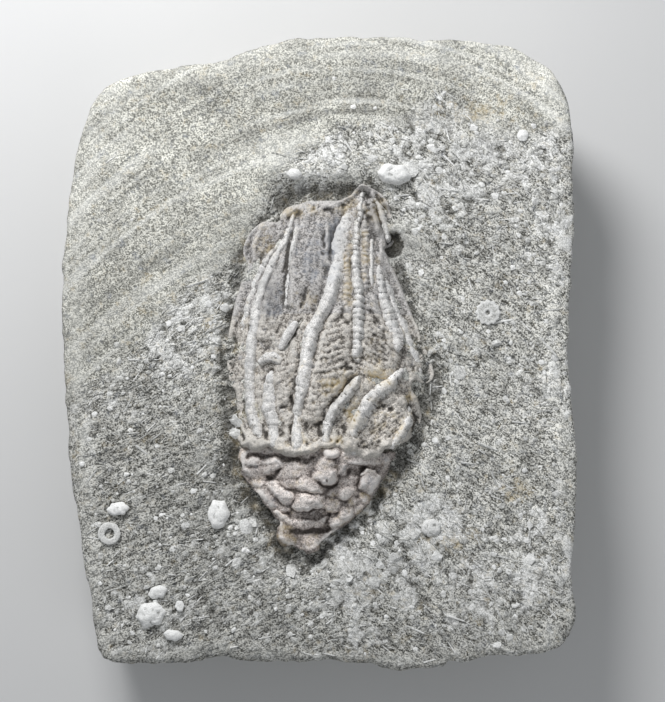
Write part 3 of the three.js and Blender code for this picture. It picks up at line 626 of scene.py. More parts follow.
def build_slab(material):
    columns, rows = FACE_CELLS
    bm, s, t = grid_mesh(columns, rows)
    angle = np.arctan2(t * HALF[1], s * HALF[0])
    out = np.maximum(abs(s), abs(t)) * rim_at(angle)
    x, y = out * np.cos(angle), out * np.sin(angle)
    inside = np.minimum(1, (rim_base(angle) * 0.985) / np.maximum(out, 1e-6))
    base = drop(slab_tree, x * inside, y * inside, RIM_LEVEL)
    base = soften(base, 2)
    crowned = (drop(crown_tree, x, y, -1) > 0).astype(float)
    near = soften(crowned, 5)
    fine = layer_height(x, y)
    shelly, pale = shelly_relief(x, y)
    smooth, streak = fine_relief(x, y)
    rugged = 1 + 1.1 * ramp(near, 0, 0.2) * ramp(near, 1, 0.6)
    calm = swells(x, y, TIP_CALM)
    shelly, pale = shelly * (1 - 0.6 * calm), pale * (1 - calm)
    relief = (1 - fine) * shelly * rugged + fine * (smooth + 0.25)
    rounding = -0.5 * ramp(np.maximum(abs(s), abs(t)), 0.982, 1.0) ** 2
    z = base + relief + rounding - MOAT_SINK * ramp(near, 0.75, 1) - crown_pit(x, y)
    set_places(bm, x, y, z)
    wall_down(bm)
    bmesh.ops.recalc_face_normals(bm, faces=bm.faces)
    piece = place_mesh("slab_of_limestone", bm)
    # The hollow mask darkens the face's hollows with painted shade, darkens the pit, and lightens the rounded
    # rim with painted highlight and rubbing.
    edge = ramp(np.maximum(abs(s), abs(t)), 0.975, 1.0)
    hollow = sunken(z, 0.20, 1.3) * (1 - edge) - 0.3 * edge
    hollow = hollow + 1.2 * ramp(crown_pit(x, y), 0.2, 1.0)
    masks = {"hollow": depth_mask(hollow), "pale": pale * (1 - fine), "fine": fine,
             "warm": slab_warmth(x, y, near), "streak": streak * 0.5 + 0.5,
             "tone": np.clip(0.5 + swells(x, y, SLAB_TONES), 0, 1), "right": right_side(x)}
    beyond = wall_masks(vertex_arrays(piece.data)[0][s.size:].T)
    for name, values in masks.items():
        write_mask(piece, name, np.concatenate([values.ravel(), beyond[name]]))
    return finish_piece(piece, material, "matrix_limestone", SLAB)


def wall_down(bm):
    """Carries the face's edge down the broken side and in over the flat back."""
    edges = [e for e in bm.edges if e.is_boundary]
    top = np.mean(sorted(v.co.z for v in {v for e in edges for v in e.verts}))
    steps = [("wall", 1 - k / WALL_ROWS) for k in range(1, WALL_ROWS + 1)]
    steps += [("back", part) for part in BACK_STEPS]
    for kind, part in steps:
        verts, edges = extrude_rim(bm, edges)
        place = np.array([v.co[:] for v in verts])
        angle = np.arctan2(place[:, 1], place[:, 0])
        if kind == "wall":
            level = np.full(angle.shape, part)
            z = top * level
            reach = reach_in(slab_tree, angle, np.clip(z, 0.05, RIM_LEVEL))
            limit = rim_at(angle) - 0.15 + 0.35 * foot_side(angle)
            out = np.minimum(wall_place(reach, angle, level, top), limit)
            foot_angle, foot_reach = angle, out
        else:
            order = np.argsort(foot_angle)
            out = part * np.interp(angle, foot_angle[order], foot_reach[order])
            z = np.zeros(angle.shape)
        for vert, a, r, h in zip(verts, angle, out, z):
            vert.co = (r * math.cos(a), r * math.sin(a), h)
    bmesh.ops.contextual_create(bm, geom=edges)


def crown_pit(x, y):
    """The deep dark hole left beside the top of the crown."""
    a, b = (x - PIT[0]) / PIT[2], (y - PIT[1]) / PIT[3]
    return 1.4 * ramp(a * a + b * b + 0.5 * fractal(x, y, 1.5, 2, 111), 1.3, 0.5)


def slab_warmth(x, y, near):
    """Ochre stain: along the crown's edge and in faint blotches."""
    blotch = ramp(fractal(x, y, 6, 3, 121), 0.1, 0.9)
    return np.clip(0.35 * ramp(near, 0.0, 0.15) * blotch + 0.12 * blotch + swells(x, y, SLAB_STAINS), 0, 1)


# ---- the crown's surface between its arms ----
def near_line(x, y, stops):
    """How far each place is from a bent line, as a share of the line's half width, and the run along it."""
    share, run, start = np.full(x.shape, 99.0), np.zeros(x.shape), 0.0
    for (ax, ay, aw), (bx, by, bw) in zip(stops, stops[1:]):
        dx, dy = bx - ax, by - ay
        length = math.hypot(dx, dy)
        part = np.clip(((x - ax) * dx + (y - ay) * dy) / length ** 2, 0, 1)
        away = np.hypot(x - ax - part * dx, y - ay - part * dy) / (aw + part * (bw - aw))
        run = np.where(away < share, start + part * length, run)
        share = np.minimum(share, away)
        start += length
    return share, run


def ribbed(x, y, spacing, slope, bow, centre, seed):
    """Fine side branches laid side by side: uneven rounded ribs, broken and missing here and there."""
    bent = y - slope * x + bow * (x - centre) ** 2 + 0.34 * fractal(x, y, 2.6, 3, seed)
    phase = bent / spacing + 0.25 * lattice(x, y, 1.9, seed + 4)
    rib = np.abs(np.sin(phase * math.pi)) ** 0.8
    row = np.floor(phase)
    crumbs = lattice(x + row * 3.7, row * 5.1, 0.6, seed + 2)
    whole = ramp(lattice(x + row * 7.3, y, 1.8, seed + 1), -0.5, 0.1)
    return rib * (0.7 + 0.5 * crumbs) * (0.3 + 0.7 * whole)


def crown_fan(x, y):
    """Place across the crown, from -1 to 1, so that wrinkles run with the arms."""
    half = np.interp(y, FAN_Y, FAN_HALF)
    middle = np.interp(y, FAN_Y, FAN_MIDDLE)
    return (x - middle) / half


def bed_relief(x, y, fields):
    """Height of the detail between the arms: wrinkles, side branches, beads, crests and cracks."""
    across = crown_fan(x, y)
    rough = ramp(y, 24.5, 26.5)
    crumbly = np.maximum(rough, ramp(y, 9, 5))
    height = 0.12 * lattice(across * 9, y / 7, 1, 131) + 0.05 * lattice(across * 22, y / 3, 1, 132)
    lumps = (0.09 + 0.14 * crumbly + 0.2 * rough) * fractal(x, y, 1.8, 4, 133)
    height += lumps + (0.05 + 0.04 * crumbly) * fractal(x, y, 0.5, 2, 135)
    for (name, spacing, slope, bow, centre, rise), cover in zip(BRANCH_FIELDS, fields):
        height += cover * rise * (ribbed(x, y, spacing, slope, bow, centre, len(name) + 140) - 0.4)
    bent_x = x + 0.15 * fractal(x, y, 1.2, 2, 151)
    for rise, beads, stops in BED_RIDGES:
        share, run = near_line(bent_x, y, stops)
        swell = 1.0 + 0.4 * lattice(x, y, 1.1, 153)
        if beads:
            swell = swell - 0.4 * np.cos((run + 0.5 * lattice(x, y, 1.7, 154)) * 2 * math.pi / beads)
        height += rise * swell * np.exp(-share ** 2 * 1.3)
    bent_x, bent_y = x + 0.3 * fractal(x, y, 1.2, 2, 155), y + 0.3 * fractal(x, y, 1.2, 2, 157)
    broken = ramp(fractal(x, y, 1.4, 2, 159), -1.1, 0.4)
    for depth, stops in BED_CRACKS:
        share, _ = near_line(bent_x, bent_y, stops)
        height -= depth * np.exp(-share ** 2 * 1.1) * broken
    return height


def ledge_line(x):
    """The wavy lower edge of the arms' bases, where they overhang the cup."""
    stops = np.array(LEDGE)
    edge = np.interp(x, stops[:, 0], stops[:, 1])
    return edge + 0.48 * lattice(x, x * 0, 2.1, 161) + 0.15 * lattice(x, x * 0, 0.8, 162)


def ledge_lift(x, y):
    """How far the arms' bases swell up over the cup behind that edge."""
    lift = LEDGE_LIFT * ramp(y, -12.8, -16.6)
    return lift * (0.65 + 0.35 * ramp(x, 4.2, 2.4)) * ramp(abs(x + 1.5), 15.5, 12.5)


def span_grid(low, high, cell):
    """A grid mesh between two corners, with its vertices' places."""
    columns, rows = np.round((np.array(high) - np.array(low)) / cell).astype(int)
    bm, s, t = grid_mesh(int(columns), int(rows))
    return bm, low[0] + (s + 1) / 2 * (high[0] - low[0]), low[1] + (t + 1) / 2 * (high[1] - low[1])


def close_block(bm, floor):
    """Gives a sculpted surface straight sides and a bottom, all sunk in the slab."""
    edges = [e for e in bm.edges if e.is_boundary]
    for edge in edges:
        edge.smooth = False
    verts, edges = extrude_rim(bm, edges)
    for vert in verts:
        vert.co.z = min(vert.co.z - 0.5, floor)
    bmesh.ops.contextual_create(bm, geom=edges)
    bmesh.ops.recalc_face_normals(bm, faces=bm.faces)


def mask_block(piece, shape, masks):
    """Writes masks on a block's top; its hidden sides take a middle value."""
    for name, values in masks.items():
        full = np.full(len(piece.data.vertices), 0.5)
        full[:shape.size] = np.clip(values, 0, 1).ravel()
        write_mask(piece, name, full)


def sculpt_bed(x, y):
    """Height of the crown's surface between its arms, down to the slab outside it and under the cup."""
    base = 0.5 * soften(drop(slab_tree, x, y, 20), 2) + 0.5 * soften(drop(bed_tree, x, y, 20), 2)
    arms = soften((drop(arm_tree, x, y, -1) > 0).astype(float), 2)
    covered = soften((drop(crown_tree, x, y, -1) > 0).astype(float), 5)
    filled = (covered > 0.06) | ((abs(crown_fan(x, y)) < 0.86) & (y > -16.5) & (y < 28))
    inside = ramp(soften(filled.astype(float), 3), 0.30, 0.75)
    fields = [soften((drop(solid_tree(f[0]), x, y, -1) > 0).astype(float), 5) for f in BRANCH_FIELDS]
    crevice = arms * ramp(fractal(x, y, 3.5, 2, 165), -0.9, 0.3)
    z = base - BED_SINK + BED_SWELL * inside + bed_relief(x, y, fields) * inside - 0.35 * crevice
    above = y - ledge_line(x)
    roll = 0.12 + 0.32 * np.exp(-((x + 3.8) / 3.4) ** 2)
    lip = roll * np.exp(-((above - 1.0) / 0.8) ** 2)
    z += ledge_lift(x, y) * (1 + lip + 0.36 * fractal(x, y, 2.4, 3, 167))
    z += swells(x, y, LEDGE_KNOBS)
    z -= LEDGE_DROP * ramp(above, 0.2, -0.35) + 0.45 * ramp(above, 0.7, 0.1) ** 2
    return z - crown_pit(x, y)


def build_bed_piece(new_name, first, last, x, y, z, material, slot, *nodes):
    """Some rows of the crown's surface, as a closed block sunk in the slab."""
    rows = slice(first, last)
    bm, _, _ = grid_mesh(x.shape[1] - 1, last - first - 1)
    set_places(bm, x[rows], y[rows], z[rows])
    close_block(bm, BED_FLOOR)
    piece = place_mesh(new_name, bm)
    # Painted shade in the hollows between the arms, painted highlight on the crests.
    hollow = sunken(z, 0.16, 0.7)
    masks = {"hollow": depth_mask(hollow), "tone": crown_tone(x, y), "warm": crown_warmth(x, y)}
    mask_block(piece, z[rows], {name: values[rows] for name, values in masks.items()})
    return finish_piece(piece, material, slot, *nodes)


def build_bed(sac_material, branch_material):
    """The crown's surface between its arms: the sac's skin above, the side branches below."""
    low = (crown_low[0] - BED_MARGIN, BED_FOOT)
    bm, x, y = span_grid(low, crown_high[:2] + BED_MARGIN, BED_CELL)
    bm.free()
    z = sculpt_bed(x, y)
    split = int(np.searchsorted(y[:, 0], BED_SPLIT))
    build_bed_piece("side_branches", 0, split + 1, x, y, z, branch_material, "pinnule_calcite",
                    *BRANCH_NODES, SLAB)
    build_bed_piece("sac_skin", split, len(y), x, y, z, sac_material, "sac_calcite", *SAC_NODES, SLAB)


def crown_tone(x, y):
    return np.clip(0.5 + swells(x, y, CROWN_TONES), 0, 1)


def crown_warmth(x, y):
    return np.clip(0.5 + swells(x, y, CROWN_WARMTHS), 0, 1)


# ---- arms ----
def slices(name, step):
    """Middle, half width and top of a CAD limb at stations along Y, read from its solid."""
    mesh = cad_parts[name].data
    place = np.array([v.co[:] for v in mesh.vertices]) / MM
    edges = np.array([e.vertices[:] for e in mesh.edges])
    a, b = place[edges[:, 0]], place[edges[:, 1]]
    low, high = place[:, 1].min(), place[:, 1].max()
    stations = np.linspace(low + 0.12, high - 0.12, max(6, int((high - low) / step)))
    rows = []
    for y in stations:
        cross = (a[:, 1] - y) * (b[:, 1] - y) < 0
        part = ((y - a[cross, 1]) / (b[cross, 1] - a[cross, 1]))[:, None]
        cut = a[cross] + (b[cross] - a[cross]) * part
        rows.append((cut[:, 0].min(), cut[:, 0].max(), cut[:, 2].max()))
    left, right, top = np.array(rows).T
    return stations, left, right, top


def smooth_line(values, passes):
    for _ in range(passes):
        inner = (values[:-2] + 2 * values[1:-1] + values[2:]) / 4
        values = np.concatenate([values[:1], inner, values[-1:]])
    return values


def limb_spine(name, lean, tip_rise):
    """Points along the ground under an arm every TUBE_STEP, with its half width and its height there.

    An arm that ends near the cup is carried on down to the ledge.
    """
    y, left, right, top = slices(name, 0.6)
    middle = smooth_line((left + right) / 2, 4) + lean
    slope = np.gradient(middle, y)
    half = smooth_line((right - left) / 2 / np.sqrt(1 + slope ** 2), 6)
    ground = smooth_line(drop(bed_tree, middle - lean, y, 20), 8)
    rise = np.maximum(ARM_PRIDE * (smooth_line(top, 8) - ground), 0.5) + ARM_ROOT
    rise = rise * (1 - (1 - tip_rise) * ramp(y, 11, 19))
    rooted = y[0] < ROOTED_BELOW
    if rooted:
        foot = float(ledge_line(middle[:1])[0]) + 0.75
        more = np.arange(foot, y[0] - 0.5, 0.6)
        back = y[0] - more
        half = np.where(y < ROOTED_BELOW + 3, np.maximum(half, 0.72 * np.median(half)), half)
        half = smooth_line(half, 3)
        middle = np.concatenate([middle[0] - slope[0] * 2.2 * np.tanh(back / 2.2), middle])
        flare = np.tanh(back / 3.0)
        half = np.concatenate([half[0] + 0.15 * flare, half])
        rise = np.concatenate([rise[0] + 0.25 * flare, rise])
        ground = np.concatenate([np.full(more.shape, ground[0]), ground])
        y = np.concatenate([more, y])
    ground = ground + 0.8 * ledge_lift(middle, y)
    line = np.stack([smooth_line(middle, 2), y, ground - ARM_ROOT], 1)
    run = np.concatenate([[0], np.cumsum(np.linalg.norm(np.diff(line, axis=0), axis=1))])
    at = np.arange(0, run[-1], TUBE_STEP)
    line = np.stack([np.interp(at, run, c) for c in line.T], 1)
    return at, line, np.interp(at, run, half), np.interp(at, run, rise), rooted


def build_arm(name, seed, material):
    """One arm: a low flared ridge of ossicles with fine joints and uneven sides."""
    length, groove, bead, widen, blunt, lean, tip_rise = ARM_HABIT.get(name, PLAIN_HABIT)
    at, line, half, rise, rooted = limb_spine(name, lean, tip_rise)
    bm, s, _ = grid_mesh(TUBE_SIDES, len(at) - 1)
    around = (s + 1) * math.pi
    along = at[:, None] + 0 * around
    line = line + np.stack([0.16 * fractal(at, at * 0 + seed, 2.2, 3, seed + 400), at * 0, at * 0], 1)
    ahead = np.gradient(line, axis=0)
    ahead /= np.linalg.norm(ahead, axis=1)[:, None]
    side = np.cross(ahead, (0, 0, 1))
    side /= np.linalg.norm(side, axis=1)[:, None]
    over = np.cross(side, ahead)
    wobble = 0.35 * lattice(along, around * 0 + seed, 1.6, seed + 600)
    phase = ((along + 0.28 * np.cos(around - 1.0)) / length + wobble) % 1
    joint = np.exp(-(np.minimum(phase, 1 - phase) * length / 0.12) ** 2)
    joint = joint * ramp(fractal(along, np.cos(around) * 2 + seed * 3.1, 2.0, 2, seed + 700), -0.7, 0.1)
    swell = 1 + 0.16 * bead * (np.sin(phase * math.pi) ** 0.7 - 0.6)
    past = np.minimum(at + (0.35 * half if rooted else 0), at[-1] - at)
    tip = np.sqrt(np.clip(1 - (1 - np.clip(past / (ARM_SHOULDER * half), 0, 1)) ** 2, 0.004, 1))[:, None]
    uneven = 1 + 0.14 * fractal(along, np.sign(np.cos(around)) * 9 + seed, 2.2, 3, seed + 800)
    wide = half[:, None] * widen * uneven * swell * tip - 0.6 * groove * joint
    pitted = fractal(along, np.cos(around) * half[:, None] * 2 + seed * 7.3, 1.0, 3, seed + 900)
    lumpy = 1 + 0.10 * fractal(along, around * 0, 3.0, 2, seed + 950) + 0.08 * pitted
    tall = rise[:, None] * lumpy * swell * tip
    lift = np.clip(np.sin(around), 0, 1)
    steep = blunt + 0.2 + 0.45 * np.cos(around)
    steep = steep + 0.4 * lattice(along, np.sign(np.cos(around)) * 5, 2.6, seed + 970)
    height = np.where(np.sin(around) > 0, tall * np.maximum(lift, 1e-4) ** steep, 0.5 * np.sin(around))
    height = height - groove * joint * lift
    across = wide * np.cos(around) - 0.16 * wide * lift
    place = line[:, None, :] + side[:, None, :] * across[..., None] + over[:, None, :] * height[..., None]
    set_places(bm, *np.moveaxis(place, -1, 0))
    bmesh.ops.remove_doubles(bm, verts=bm.verts, dist=0.01)
    bmesh.ops.holes_fill(bm, edges=[e for e in bm.edges if e.is_boundary], sides=0)
    bmesh.ops.recalc_face_normals(bm, faces=bm.faces)
    piece = place_mesh(name.replace("arm_", "ray_"), bm)
    roughen(piece, ((0.10, 1.3, seed + 300), (0.06, 0.45, seed + 301)))
    # Painted shade in the arm's joints and grooves, painted highlight on its crest.
    mark_hollows(piece, (3, 0.09), (14, 0.24))
    mark_tints(piece)
    return finish_piece(piece, material, "arm_calcite", name)


# ---- pieces carved from their own solids ----
def carve(name, new_name, voxel, passes, amounts, hollows, material, slot, grow=0.0, squash=1.0):
    """A fine copy of a CAD solid: remeshed, rounded by smoothing and roughened."""
    bm = bmesh.new()
    bm.from_mesh(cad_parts[name].data)
    bmesh.ops.scale(bm, vec=(1 / MM,) * 3, verts=bm.verts)
    bmesh.ops.remove_doubles(bm, verts=bm.verts, dist=0.002)
    piece = place_mesh(new_name, bm)
    remesh = piece.modifiers.new("fine", "REMESH")
    remesh.mode = "VOXEL"
    remesh.voxel_size = voxel * MM
    graph = bpy.context.evaluated_depsgraph_get()
    mesh = bpy.data.meshes.new_from_object(piece.evaluated_get(graph))
    piece.modifiers.clear()
    piece.data = mesh
    place, normal = vertex_arrays(mesh)
    for _ in range(passes):
        place = 0.3 * place + 0.7 * neighbour_mean(mesh, place)
    place = place + normal * grow
    level = drop(slab_tree, place[:, 0], place[:, 1], RIM_LEVEL) + 0.1
    place[:, 2] = np.where(place[:, 2] > level, level + (place[:, 2] - level) * squash, place[:, 2])
    mesh.vertices.foreach_set("co", (place * MM).ravel())
    mesh.update()
    mesh.polygons.foreach_set("use_smooth", [True] * len(mesh.polygons))
    roughen(piece, amounts)
    # Painted shade in the piece's grooves, painted highlight on its ridges.
    mark_hollows(piece, *hollows)
    return finish_piece(piece, material, slot, name)


def mark_tints(piece):
    """Gives a piece of the crown its tone and warmth, with a mottle of its own."""
    x, y, _ = vertex_arrays(piece.data)[0].T
    write_mask(piece, "tone", crown_tone(x, y) + 0.15 * fractal(x, y, 1.5, 3, 411))
    write_mask(piece, "warm", crown_warmth(x, y) + 0.16 * fractal(x, y, 2.2, 2, 421))


# ---- the cup ----
def cup_sculpt(x, y):
    """Height, tone and warmth of the cup's plates: each rises southwards and ends in a step over the next."""
    bent_x = x + 0.34 * fractal(x, y, 1.8, 3, 181)
    bent_y = y + 0.34 * fractal(x, y, 1.8, 3, 183)
    height = 0.72 + 0.30 * fractal(x, y, 1.7, 4, 185)
    weights = np.exp(CUP_CRISPNESS * height)
    total, tone, warm = weights.copy(), weights * 0.44, weights * 0.5
    for px, py, a, b, tilt, rise, own_tone, own_warm in CUP_PLATES:
        u, v = turned(bent_x - px, bent_y - py, tilt)
        share = np.clip(1 - np.abs(u / (a * 1.3)) ** 3 - np.abs(v / (b * 1.3)) ** 3, 0, 1)
        south = np.clip((py - y) / b, -1, 1)
        dome = CUP_RELIEF * rise * share ** (0.92 - 0.42 * south) * (1 + 0.28 * south)
        body = np.where(share > 0, 0.15 + dome, 0)
        weight = np.exp(CUP_CRISPNESS * body) * (share > 0)
        total, tone, warm = total + weight, tone + weight * own_tone, warm + weight * own_warm
    for rise, stops, own_tone in CUP_RIMS:
        share, _ = near_line(bent_x, bent_y, stops)
        body = 0.1 + rise * np.clip(1.3 - share ** 2, 0, 1) ** 0.7
        weight = np.exp(CUP_CRISPNESS * body) * (share < 1.14)
        total, tone, warm = total + weight, tone + weight * own_tone, warm + weight * 0.55
    height, tone, warm = np.log(total) / CUP_CRISPNESS, tone / total, warm / total
    # The listed hollows are sunk, and their tone is darkened as painted shade.
    for depth, stops in CUP_HOLLOWS:
        share, _ = near_line(bent_x, bent_y, stops)
        sunk = np.exp(-share ** 2)
        height = height - CUP_RELIEF * depth * sunk
        tone = tone - 0.22 * sunk
    return height, tone, warm


def build_cup(material):
    """The cup: its solid's smoothed swell carries the sculpted plates, and its sides drop into the moat."""
    low, high = node_box("calyx")
    bm, x, y = span_grid(low[:2] - CUP_MARGIN, high[:2] + CUP_MARGIN, CUP_CELL)
    solid = drop(solid_tree("calyx"), x, y, -1)
    cover = (solid > 0).astype(float)
    swell = soften(np.where(solid > 0, solid, 0), 12) / np.maximum(soften(cover, 12), 0.02)
    ragged = soften(cover, 3) + 0.34 * fractal(x, y, 1.8, 4, 191)
    inside = ramp(ragged, 0.36, 0.60)
    height, tone, warm = cup_sculpt(x, y)
    shoulder = 0.7 * np.clip(1 - soften(cover, 8), 0, 1) ** 1.5
    ground = drop(slab_tree, x, y, 20) - 1.6
    z = ground + (swell - CUP_SINK + height - shoulder - ground) * inside
    z = z + 0.05 * fractal(x, y, 0.5, 2, 193) + 0.13 * fractal(x, y, 1.2, 3, 195)
    set_places(bm, x, y, z)
    close_block(bm, BED_FLOOR)
    piece = place_mesh("cup_plates", bm)
    # The hollow mask puts painted shade in the cup's hollows and on its sides where they drop into the moat,
    # and is darker towards the tip; near the brink it gives no painted highlight, and the tone there is
    # darker, as painted shade over the shoulders.
    hollow = sunken(z, 0.34, 0.95, far_cells=8) + 1.1 * ramp(inside, 0.95, 0.4)
    hollow = hollow + 0.45 * ramp(y, -29, -32)
    brink = ramp(soften(cover, 8), 0.88, 0.55)
    hollow = hollow * (1 - brink) + np.maximum(hollow, 0.2) * brink
    mottle = 0.20 * fractal(x, y, 2.6, 4, 187)
    tone = tone + mottle - 0.10 * brink
    mask_block(piece, z, {"hollow": depth_mask(hollow), "tone": tone, "warm": warm})
    return finish_piece(piece, material, "cup_calcite", "calyx")


# ---- loose grains and shell bits ----
def grain_templates():
    """A few chipped grains to scatter: angular chip, flat flake, disc with a bore and thin rod."""
    out = []
    kinds = (((1.2, 0.9, 0.5), 1), ((1.2, 1, 0.28), 2), ((1, 1, 0.4), "bore"), ((1, 1, 1), "rod"))
    for stretch, kind in kinds:
        bm = bmesh.new()
        if kind == "bore":
            bmesh.ops.create_circle(bm, segments=8, radius=1)
            ring, _ = extrude_rim(bm, bm.edges[:])
            bmesh.ops.scale(bm, vec=(0.4, 0.4, 1), verts=ring)
            bmesh.ops.solidify(bm, geom=bm.faces[:], thickness=1.2)
            # Thickening numbers the corners differently each run, so they are put in a fixed order
            bm.verts.sort(key=lambda v: v.co.x + 3.7 * v.co.y + 11 * v.co.z)
        elif kind == "rod":
            bmesh.ops.create_cone(bm, cap_ends=True, segments=5, radius1=0.13, radius2=0.09, depth=2)
            bmesh.ops.rotate(bm, matrix=Matrix.Rotation(math.pi / 2, 3, "Y"), verts=bm.verts)
        else:
            bmesh.ops.create_icosphere(bm, subdivisions=kind, radius=1)
        bmesh.ops.scale(bm, vec=stretch, verts=bm.verts)
        bmesh.ops.triangulate(bm, faces=bm.faces)
        bmesh.ops.recalc_face_normals(bm, faces=bm.faces)
        corners = np.array([v.co[:] for v in bm.verts])
        out.append((corners, np.array([[v.index for v in f.verts] for f in bm.faces])))
        bm.free()
    return out


GRAINS = grain_templates()


def scatter(name, count, sizes, kinds, stray, sink, chalk, seed, material, face):
    """Joined grains half sunk in the shelly layer, thickest in its banks and lying near its bedding."""
    rng = np.random.default_rng(seed)
    down = Vector((0, 0, -1))
    points, faces, tones, underside_shade = [], [], [], []
    start = 0
    while len(tones) < count:
        x, y = rng.uniform(-HALF[0], HALF[0]), rng.uniform(-HALF[1], HALF[1])
        wanted = (0.25 if stray else 0) + shell_density(np.array(x), np.array(y))
        if rng.uniform() > wanted * (1 - 0.97 * layer_height(np.array(x), np.array(y))):
            continue
        if math.hypot(x, y) > 0.96 * rim_base(math.atan2(y, x)):
            continue
        if crown_pit(x, y) > 0.1 or swells(x, y, TIP_CALM) > 0.3:
            continue
        above = Vector((x, y, SKY))
        hit = face.ray_cast(above, down)
        over = crown_tree.ray_cast(above, down)[0]
        if hit[0] is None or over is not None or hit[0].z < RIM_LEVEL - 0.2 or hit[1].z < 0.8:
            continue
        if crown_tree.find_nearest(hit[0], CROWN_CLEAR)[0] is not None:
            continue
        size = sizes[0] * (sizes[1] / sizes[0]) ** (rng.uniform() ** 2.2)
        place, triangles = GRAINS[rng.choice(len(GRAINS), p=kinds)]
        if stray:
            turn = math.radians(float(bedding(np.array(x), np.array(y))) + rng.normal(0, 26))
        else:
            turn = rng.uniform(0, 3.1)
        bit = place * (1 + 0.26 * rng.uniform(-1, 1, (len(place), 1))) * size
        c, s = math.cos(turn), math.sin(turn)
        bit = bit @ np.array([[c, s, 0], [-s, c, 0], [0, 0, 1]])
        slope = -np.array([hit[1].x, hit[1].y]) / hit[1].z
        bit[:, 2] += bit[:, :2] @ (slope + rng.uniform(-0.12, 0.12, 2))
        # Painted shade on each grain's lower corners and painted highlight on its upper ones, by their height
        # in the grain.
        underside_shade.append(np.clip(0.62 - 1.6 * (bit[:, 2] - bit[:, 2].mean()) / size, 0.3, 1))
        points.append(bit + np.array([x, y, hit[0].z + sink * size]))
        faces.append(triangles + start)
        start += len(place)
        tones.append(np.full(len(place), chalk + (1 - chalk) * rng.uniform() ** 1.6))
    mesh = bpy.data.meshes.new(name)
    mesh.from_pydata((np.concatenate(points) * MM).tolist(), [], np.concatenate(faces).tolist())
    piece = bpy.data.objects.new(name, mesh)
    bpy.context.collection.objects.link(piece)
    write_mask(piece, "tone", np.concatenate(tones))
    write_mask(piece, "hollow", np.concatenate(underside_shade))
    return finish_piece(piece, material, "loose_calcite")


# ---- shader helpers ----
def feed(tree, socket, value):
    """Gives a socket a link where the value is another node's output, and else a plain value."""
    if isinstance(value, bpy.types.NodeSocket):
        tree.links.new(value, socket)
    else:
        socket.default_value = value


def put(tree, kind, **sockets):
    """A new node with its inputs fed by name, or by number as i0, i1 and so on."""
    node = tree.nodes.new(kind)
    for name, value in sockets.items():
        numbered = name[0] == "i" and name[1:].isdigit()
        feed(tree, node.inputs[int(name[1:]) if numbered else name.replace("_", " ")], value)
    return node


def sums(tree, operation, a, b, clamp=False):
    node = put(tree, "ShaderNodeMath", i0=a, i1=b)
    node.operation = operation
    node.use_clamp = clamp
    return node.outputs[0]


def blend(tree, factor, a, b, mode="MIX"):
    node = tree.nodes.new("ShaderNodeMix")
    node.data_type = "RGBA"
    node.blend_type = mode
    for socket, value in ((node.inputs[0], factor), (node.inputs[6], a), (node.inputs[7], b)):
        feed(tree, socket, value)
    return node.outputs[2]


def span(tree, value, low, high, to_low=0.0, to_high=1.0):
    node = put(tree, "ShaderNodeMapRange", Value=value, From_Min=low, From_Max=high,
               To_Min=to_low, To_Max=to_high)
    return node.outputs[0]


def grey_of(tree, value):
    return put(tree, "ShaderNodeCombineColor", Red=value, Green=value, Blue=value).outputs[0]


def chalk_of(tree, speck, dark):
    """Chalky shell, speckled from a grey up to white."""
    return blend(tree, span(tree, speck, 0.1, 0.9), dark, (1.0, 1.0, 0.99, 1))


def mask(tree, name):
    node = tree.nodes.new("ShaderNodeAttribute")
    node.attribute_name = name
    return node.outputs["Fac"]


def noise(tree, vector, size_mm, detail=3.0, rough=0.6):
    node = put(tree, "ShaderNodeTexNoise", Vector=vector, Scale=1 / (size_mm * MM),
               Detail=detail, Roughness=rough)
    return node.outputs[0]


def new_group(name, ins, outs):
    """An empty shader group with named inputs and outputs: (name, socket type, default)."""
    tree = bpy.data.node_groups.new(name, "ShaderNodeTree")
    for socket_name, kind, default in ins:
        socket = tree.interface.new_socket(socket_name, in_out="INPUT", socket_type=kind)
        if default is not None:
            socket.default_value = default
    for socket_name, kind in outs:
        tree.interface.new_socket(socket_name, in_out="OUTPUT", socket_type=kind)
    return tree, tree.nodes.new("NodeGroupInput").outputs, tree.nodes.new("NodeGroupOutput").inputs


def use_group(tree, group, **sockets):
    node = tree.nodes.new("ShaderNodeGroup")
    node.node_tree = group
    for name, value in sockets.items():
        feed(tree, node.inputs[name.replace("_", " ")], value)
    return node.outputs


def build_speckle():
    """Salt-and-pepper grain of the rock: a value round 0.5 and a matching height."""
    tree, ins, outs = new_group(
        "stone_speckle",
        [("Vector", "NodeSocketVector", None), ("Contrast", "NodeSocketFloat", 1.0)],
        [("Value", "NodeSocketFloat"), ("Height", "NodeSocketFloat")])
    fine = noise(tree, ins["Vector"], 0.27, 2.0, 0.75)
    coarse = noise(tree, ins["Vector"], 0.8, 2.0, 0.6)
    crystal = tree.nodes.new("ShaderNodeTexVoronoi")
    tree.links.new(ins["Vector"], crystal.inputs["Vector"])
    crystal.inputs["Scale"].default_value = 1 / (0.24 * MM)
    own = tree.nodes.new("ShaderNodeSeparateColor")
    tree.links.new(crystal.outputs["Color"], own.inputs[0])
    grain = sums(tree, "ADD", sums(tree, "MULTIPLY", fine, 2.2),
                 sums(tree, "MULTIPLY", own.outputs[0], 0.55))
    grain = sums(tree, "ADD", grain, sums(tree, "MULTIPLY", coarse, 0.7))
    centred = sums(tree, "SUBTRACT", grain, 1.725)
    value = sums(tree, "ADD", sums(tree, "MULTIPLY", centred, ins["Contrast"]), 0.5, clamp=True)
    tree.links.new(value, outs["Value"])
    tree.links.new(sums(tree, "ADD", fine, sums(tree, "MULTIPLY", own.outputs[0], 0.35)), outs["Height"])
    return tree


